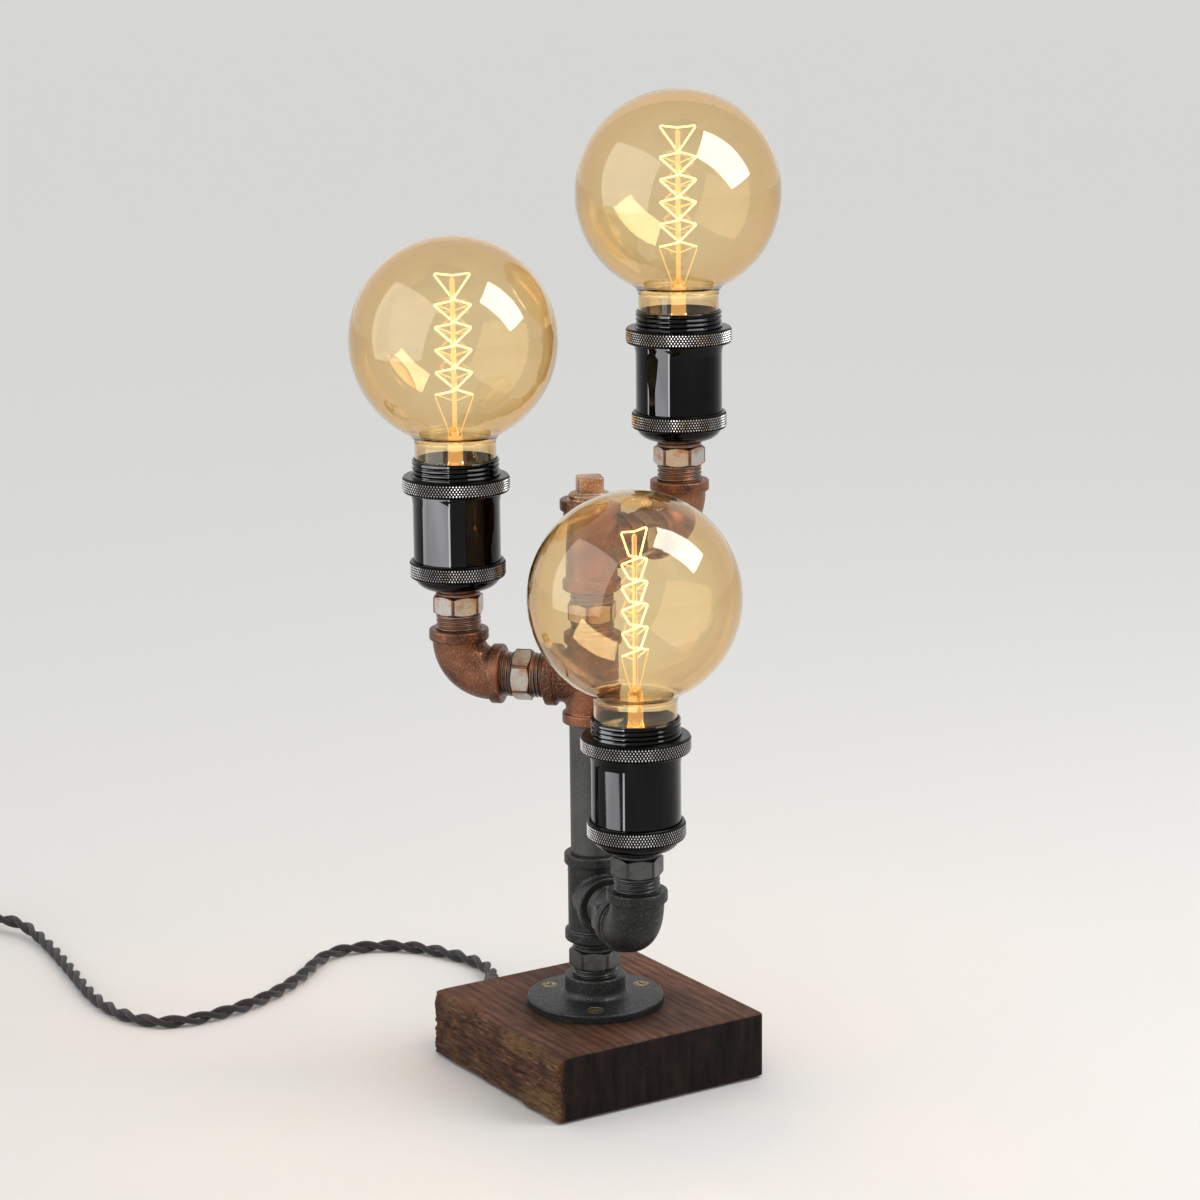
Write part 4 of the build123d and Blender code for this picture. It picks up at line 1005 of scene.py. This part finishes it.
def torn(y, z):
    """How far the saw tore in at that place of the rough side, from 0 to 1."""
    long_fibres = noise.fractal(Vector((y * 26, z * 330, 3.1)), 0.6, 2.0, 4) * 0.5 + 0.5
    splinters = noise.fractal(Vector((y * 120, z * 900, 8.7)), 0.7, 2.1, 3) * 0.5 + 0.5
    hollows = noise.noise(Vector((y * 34, z * 60, 1.3))) * 0.5 + 0.5
    cracks = max(0.0, 1 - abs(noise.noise(Vector((y * 16, z * 240, 5.5)))) * 7)
    return 0.42 * long_fibres + 0.22 * splinters + 0.3 * hollows + 0.45 * cracks


work = bmesh.new()
bmesh.ops.create_cube(work, size=1.0)
bmesh.ops.scale(work, vec=BLOCK_HIGH - BLOCK_LOW, verts=work.verts)
bmesh.ops.translate(work, vec=(BLOCK_LOW + BLOCK_HIGH) / 2, verts=work.verts)
rounding = {"offset_type": "OFFSET", "profile": 0.5, "affect": "EDGES", "material": -1}
upright = [e for e in work.edges if abs(e.verts[0].co.z - e.verts[1].co.z) > 0.01]
bmesh.ops.bevel(work, geom=upright, offset=CORNER_RADIUS, segments=4, **rounding)
top = [e for e in work.edges if min(v.co.z for v in e.verts) > BLOCK_HIGH.z - 1e-6]
bmesh.ops.bevel(work, geom=top, offset=TOP_EDGE, segments=3, **rounding)
slice_grid(work, 1, [BLOCK_LOW.y + ROW_LENGTH * n for n in range(1, 114)])
slice_grid(work, 2, [BLOCK_LOW.z + LAYER_HEIGHT * n for n in range(1, 35)])
slice_grid(work, 0, [BLOCK_LOW.x + cut for cut in NEAR_CUTS])
slice_grid(work, 0, [BLOCK_LOW.x + FAR_STEP * n for n in range(4, 14)])
for vertex in work.verts:
    x, y, z = vertex.co
    nearness = 1 - (x - BLOCK_LOW.x) / ROUGH_REACH
    if nearness > 0:
        vertex.co.x += ROUGH_DEPTH * torn(y, z) * nearness
        below_top = (BLOCK_HIGH.z - z) / CHIP_HEIGHT
        if below_top < 1:
            chipped = max(0.0, noise.fractal(Vector((y * 90, 0.5, 2.2)), 0.7, 2.0, 3) + 0.15)
            vertex.co.z -= CHIP_DEPTH * chipped * nearness ** 2 * (1 - max(below_top, 0.0))
            vertex.co.x += CHIP_SHIFT * chipped * nearness * (1 - max(below_top, 0.0))
    corner = Vector((x - BLOCK_LOW.x, y - BLOCK_LOW.y))
    if corner.length < WORN_CORNER and z > BLOCK_HIGH.z - 0.004:
        vertex.co.z -= WORN_DEPTH * (1 - corner.length / WORN_CORNER)
print("block faces", len(work.faces))

# %% [markdown]
# The wood's material reads the place on the block. The grain runs front to back: a wave texture stretched
# along Y gives the top its bands, finer stretched noise gives pores and fibres. Towards the flange the top
# is darkened, as painted shade round the flange's foot. The rough side is a paler golden brown with dark
# crevices, which are painted shade, and the sawn front is stained almost black, with faint upright
# streaks. Both sides are also painted darker than their wood, as painted shade.
# Which side a point is on comes from the normal, which is in world space and serves here because the
# block never turns.

# %% Walnut
def make_walnut():
    material, tree, shader = new_material("walnut", (0.12, 0.05, 0.03), 0.5)
    place = object_place(tree)
    along = object_place(tree, (1.0, 0.1, 1.0))

    rings = add_node(
        tree, "ShaderNodeTexWave", Vector=object_place(tree, (1.0, 0.16, 0.6), turn=4.0),
        Scale=62.0, Distortion=7.0, Detail=3.0, Detail_Scale=1.4,
    )
    rings.wave_type = "BANDS"
    rings.bands_direction = "X"
    pores = noise_value(tree, along, 1900.0, 3.0, 0.65)
    fibres = noise_value(tree, along, 620.0, 4.0, 0.6)
    stain = noise_value(tree, place, 26.0)
    colour = mix_colours(tree, rings.outputs["Fac"], (0.05, 0.019, 0.01), (0.155, 0.065, 0.033))
    colour = cover(tree, colour, (0.24, 0.107, 0.055), fibres, 0.35, 0.7, 0.6)
    colour = cover(tree, colour, (0.02, 0.009, 0.007), pores, 0.58, 0.7, 0.8)
    colour = cover(tree, colour, (0.042, 0.018, 0.012), stain, 0.42, 0.66, 0.65)
    # Painted shade: the top darkens towards the middle, from 52 mm out to 30 mm, round the foot of the
    # flange.
    level = calculate(tree, "MULTIPLY", place, (1.0, 1.0, 0.0), kind=VECTOR_MATH, output="Vector")
    flange_shade_distance = calculate(tree, "LENGTH", level, (0.0, 0.0, 0.0), kind=VECTOR_MATH)
    colour = cover(tree, colour, (0.024, 0.011, 0.008), flange_shade_distance, 0.052, 0.03, 0.7)

    streaks = noise_value(tree, object_place(tree, (1.0, 1.0, 0.12)), 260.0, 4.0, 0.7)
    blotches = noise_value(tree, place, 70.0, 4.0, 0.6)
    # The front: a dark stain with faint streaks and blotches, also painted darker still, as painted shade.
    front_stain_and_shade = cover(tree, (0.004, 0.003, 0.0027), (0.018, 0.01, 0.0075), streaks, 0.4, 0.72)
    front_stain_and_shade = cover(tree, front_stain_and_shade, (0.034, 0.017, 0.012), blotches, 0.5, 0.75, 0.5)

    tears = noise_value(tree, along, 480.0, 5.0, 0.72)
    shreds = noise_value(tree, along, 1500.0, 3.0, 0.6)
    golden = noise_value(tree, object_place(tree, (1.0, 0.35, 1.0)), 75.0, 3.0, 0.5)
    # The rough side: its colours are set somewhat darker than the wood itself, partly as painted shade.
    side = cover(tree, (0.03, 0.012, 0.007), (0.15, 0.066, 0.034), tears, 0.36, 0.66)
    side = cover(tree, side, (0.175, 0.098, 0.036), golden, 0.48, 0.62, 0.75)
    side = cover(tree, side, (0.36, 0.2, 0.1), shreds, 0.56, 0.74, 0.7)
    # Painted shade: near black where the fine shreds noise is low, standing for the torn wood's crevices.
    side = cover(tree, side, (0.01, 0.005, 0.003), shreds, 0.46, 0.32, 0.9)
    side = cover(tree, side, (0.032, 0.013, 0.009), blotches, 0.48, 0.68, 0.75)

    geometry = add_node(tree, "ShaderNodeNewGeometry")
    facing = add_node(tree, "ShaderNodeSeparateXYZ", Vector=geometry.outputs["Normal"])
    parts = add_node(tree, "ShaderNodeSeparateXYZ", Vector=place)
    is_front = between(tree, facing.outputs[1], -0.55, -0.85)
    is_side = between(tree, facing.outputs[0], -0.35, -0.65)
    torn_edge = between(tree, parts.outputs[0], -0.0515, -0.0545)
    is_side = calculate(tree, "MAXIMUM", is_side, calculate(tree, "MULTIPLY", torn_edge, 0.75))
    colour = mix_colours(tree, is_side, mix_colours(tree, is_front, colour, front_stain_and_shade), side)
    grain = bump(tree, pores, 0.00015, 0.7, below=bump(tree, fibres, 0.00022, 0.7))
    torn_height = calculate(tree, "MULTIPLY", tears, is_side)
    set_inputs(
        tree, shader, Base_Color=colour, Roughness=between(tree, fibres, 0.3, 0.7, 0.66, 0.5),
        Normal=bump(tree, torn_height, 0.0009, 0.9, below=grain), Specular_IOR_Level=0.12,
    )
    return material


finish_piece("wooden_block", work, "base", make_walnut(), sharp=50.0, hides=("wood_base",))
print("block done")

# %% [markdown]
# ## The cord's strain relief
# Where the cord leaves the block, a tapered rubber sleeve keeps it from kinking. Its ribs are part of the
# outline that is spun, and a matrix lays it along +Y.

# %% Strain relief
RELIEF_FLANGE, RELIEF_LENGTH, RELIEF_RIBS = 2.0, 20.0, 6
RELIEF_BORE, RELIEF_WIDE, RELIEF_TAPER, RELIEF_DEPTH = 3.25, 5.6, 1.4, -2.0
work = bmesh.new()
outline = [(RELIEF_BORE, RELIEF_DEPTH), (RELIEF_WIDE, RELIEF_DEPTH), (RELIEF_WIDE, 0.02)]
outline += [(7.1, 0.02), (7.5, 0.4), (7.5, 1.5), (7.0, RELIEF_FLANGE)]
for rib in range(RELIEF_RIBS):
    start = RELIEF_FLANGE + RELIEF_LENGTH * rib / RELIEF_RIBS
    wide = RELIEF_WIDE - RELIEF_TAPER * rib / RELIEF_RIBS
    outline += [(wide - 0.8, start + 0.05), (wide - 0.8, start + 1.0), (wide - 0.1, start + 1.2)]
    outline += [(wide, start + 1.5), (wide - 0.1, start + 3.1)]
outline += [(4.1, 21.9), (3.7, 22.0), (RELIEF_BORE, 22.0), outline[0]]
turn_profile(work, outline, steps=48)
relief_foot = Vector((EXIT[0], BLOCK_HIGH.y, EXIT[2]))
relief_place = Matrix.Translation(relief_foot) @ Matrix.Rotation(math.radians(-90), 4, "X") @ UNIT
relief = finish_piece(
    "ribbed_strain_relief", work, "base", RUBBER, relief_place, sharp=40.0,
    hides=("cord_gland",),
)
print("strain relief done")

# %% [markdown]
# ## The bulbs' own light
# The bulbs are lit. A small warm lamp sits in each globe, on the filament, and rides with its bulb. It
# warms the neck, the ring and the nearest fittings, and stays weak enough that the colours still show.

# %% Bulb light
BULB_LIGHT_POWER = 0.28
BULB_LIGHT_RADIUS = 0.012
for arm in ARMS:
    data = bpy.data.lights.new(f"{arm}_warmth", "POINT")
    data.energy = BULB_LIGHT_POWER
    data.color = (1.0, 0.5, 0.17)
    data.shadow_soft_size = BULB_LIGHT_RADIUS
    warm = add_object(data.name, data)
    low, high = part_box(f"{arm}_bulb_filament")
    warm.location = (low + high) / 2
    warm.parent = frame["bodies"][f"{arm}_bulb"]
    warm.visible_camera = warm.visible_glossy = warm.visible_transmission = False
print("bulb lights", BULB_LIGHT_POWER)
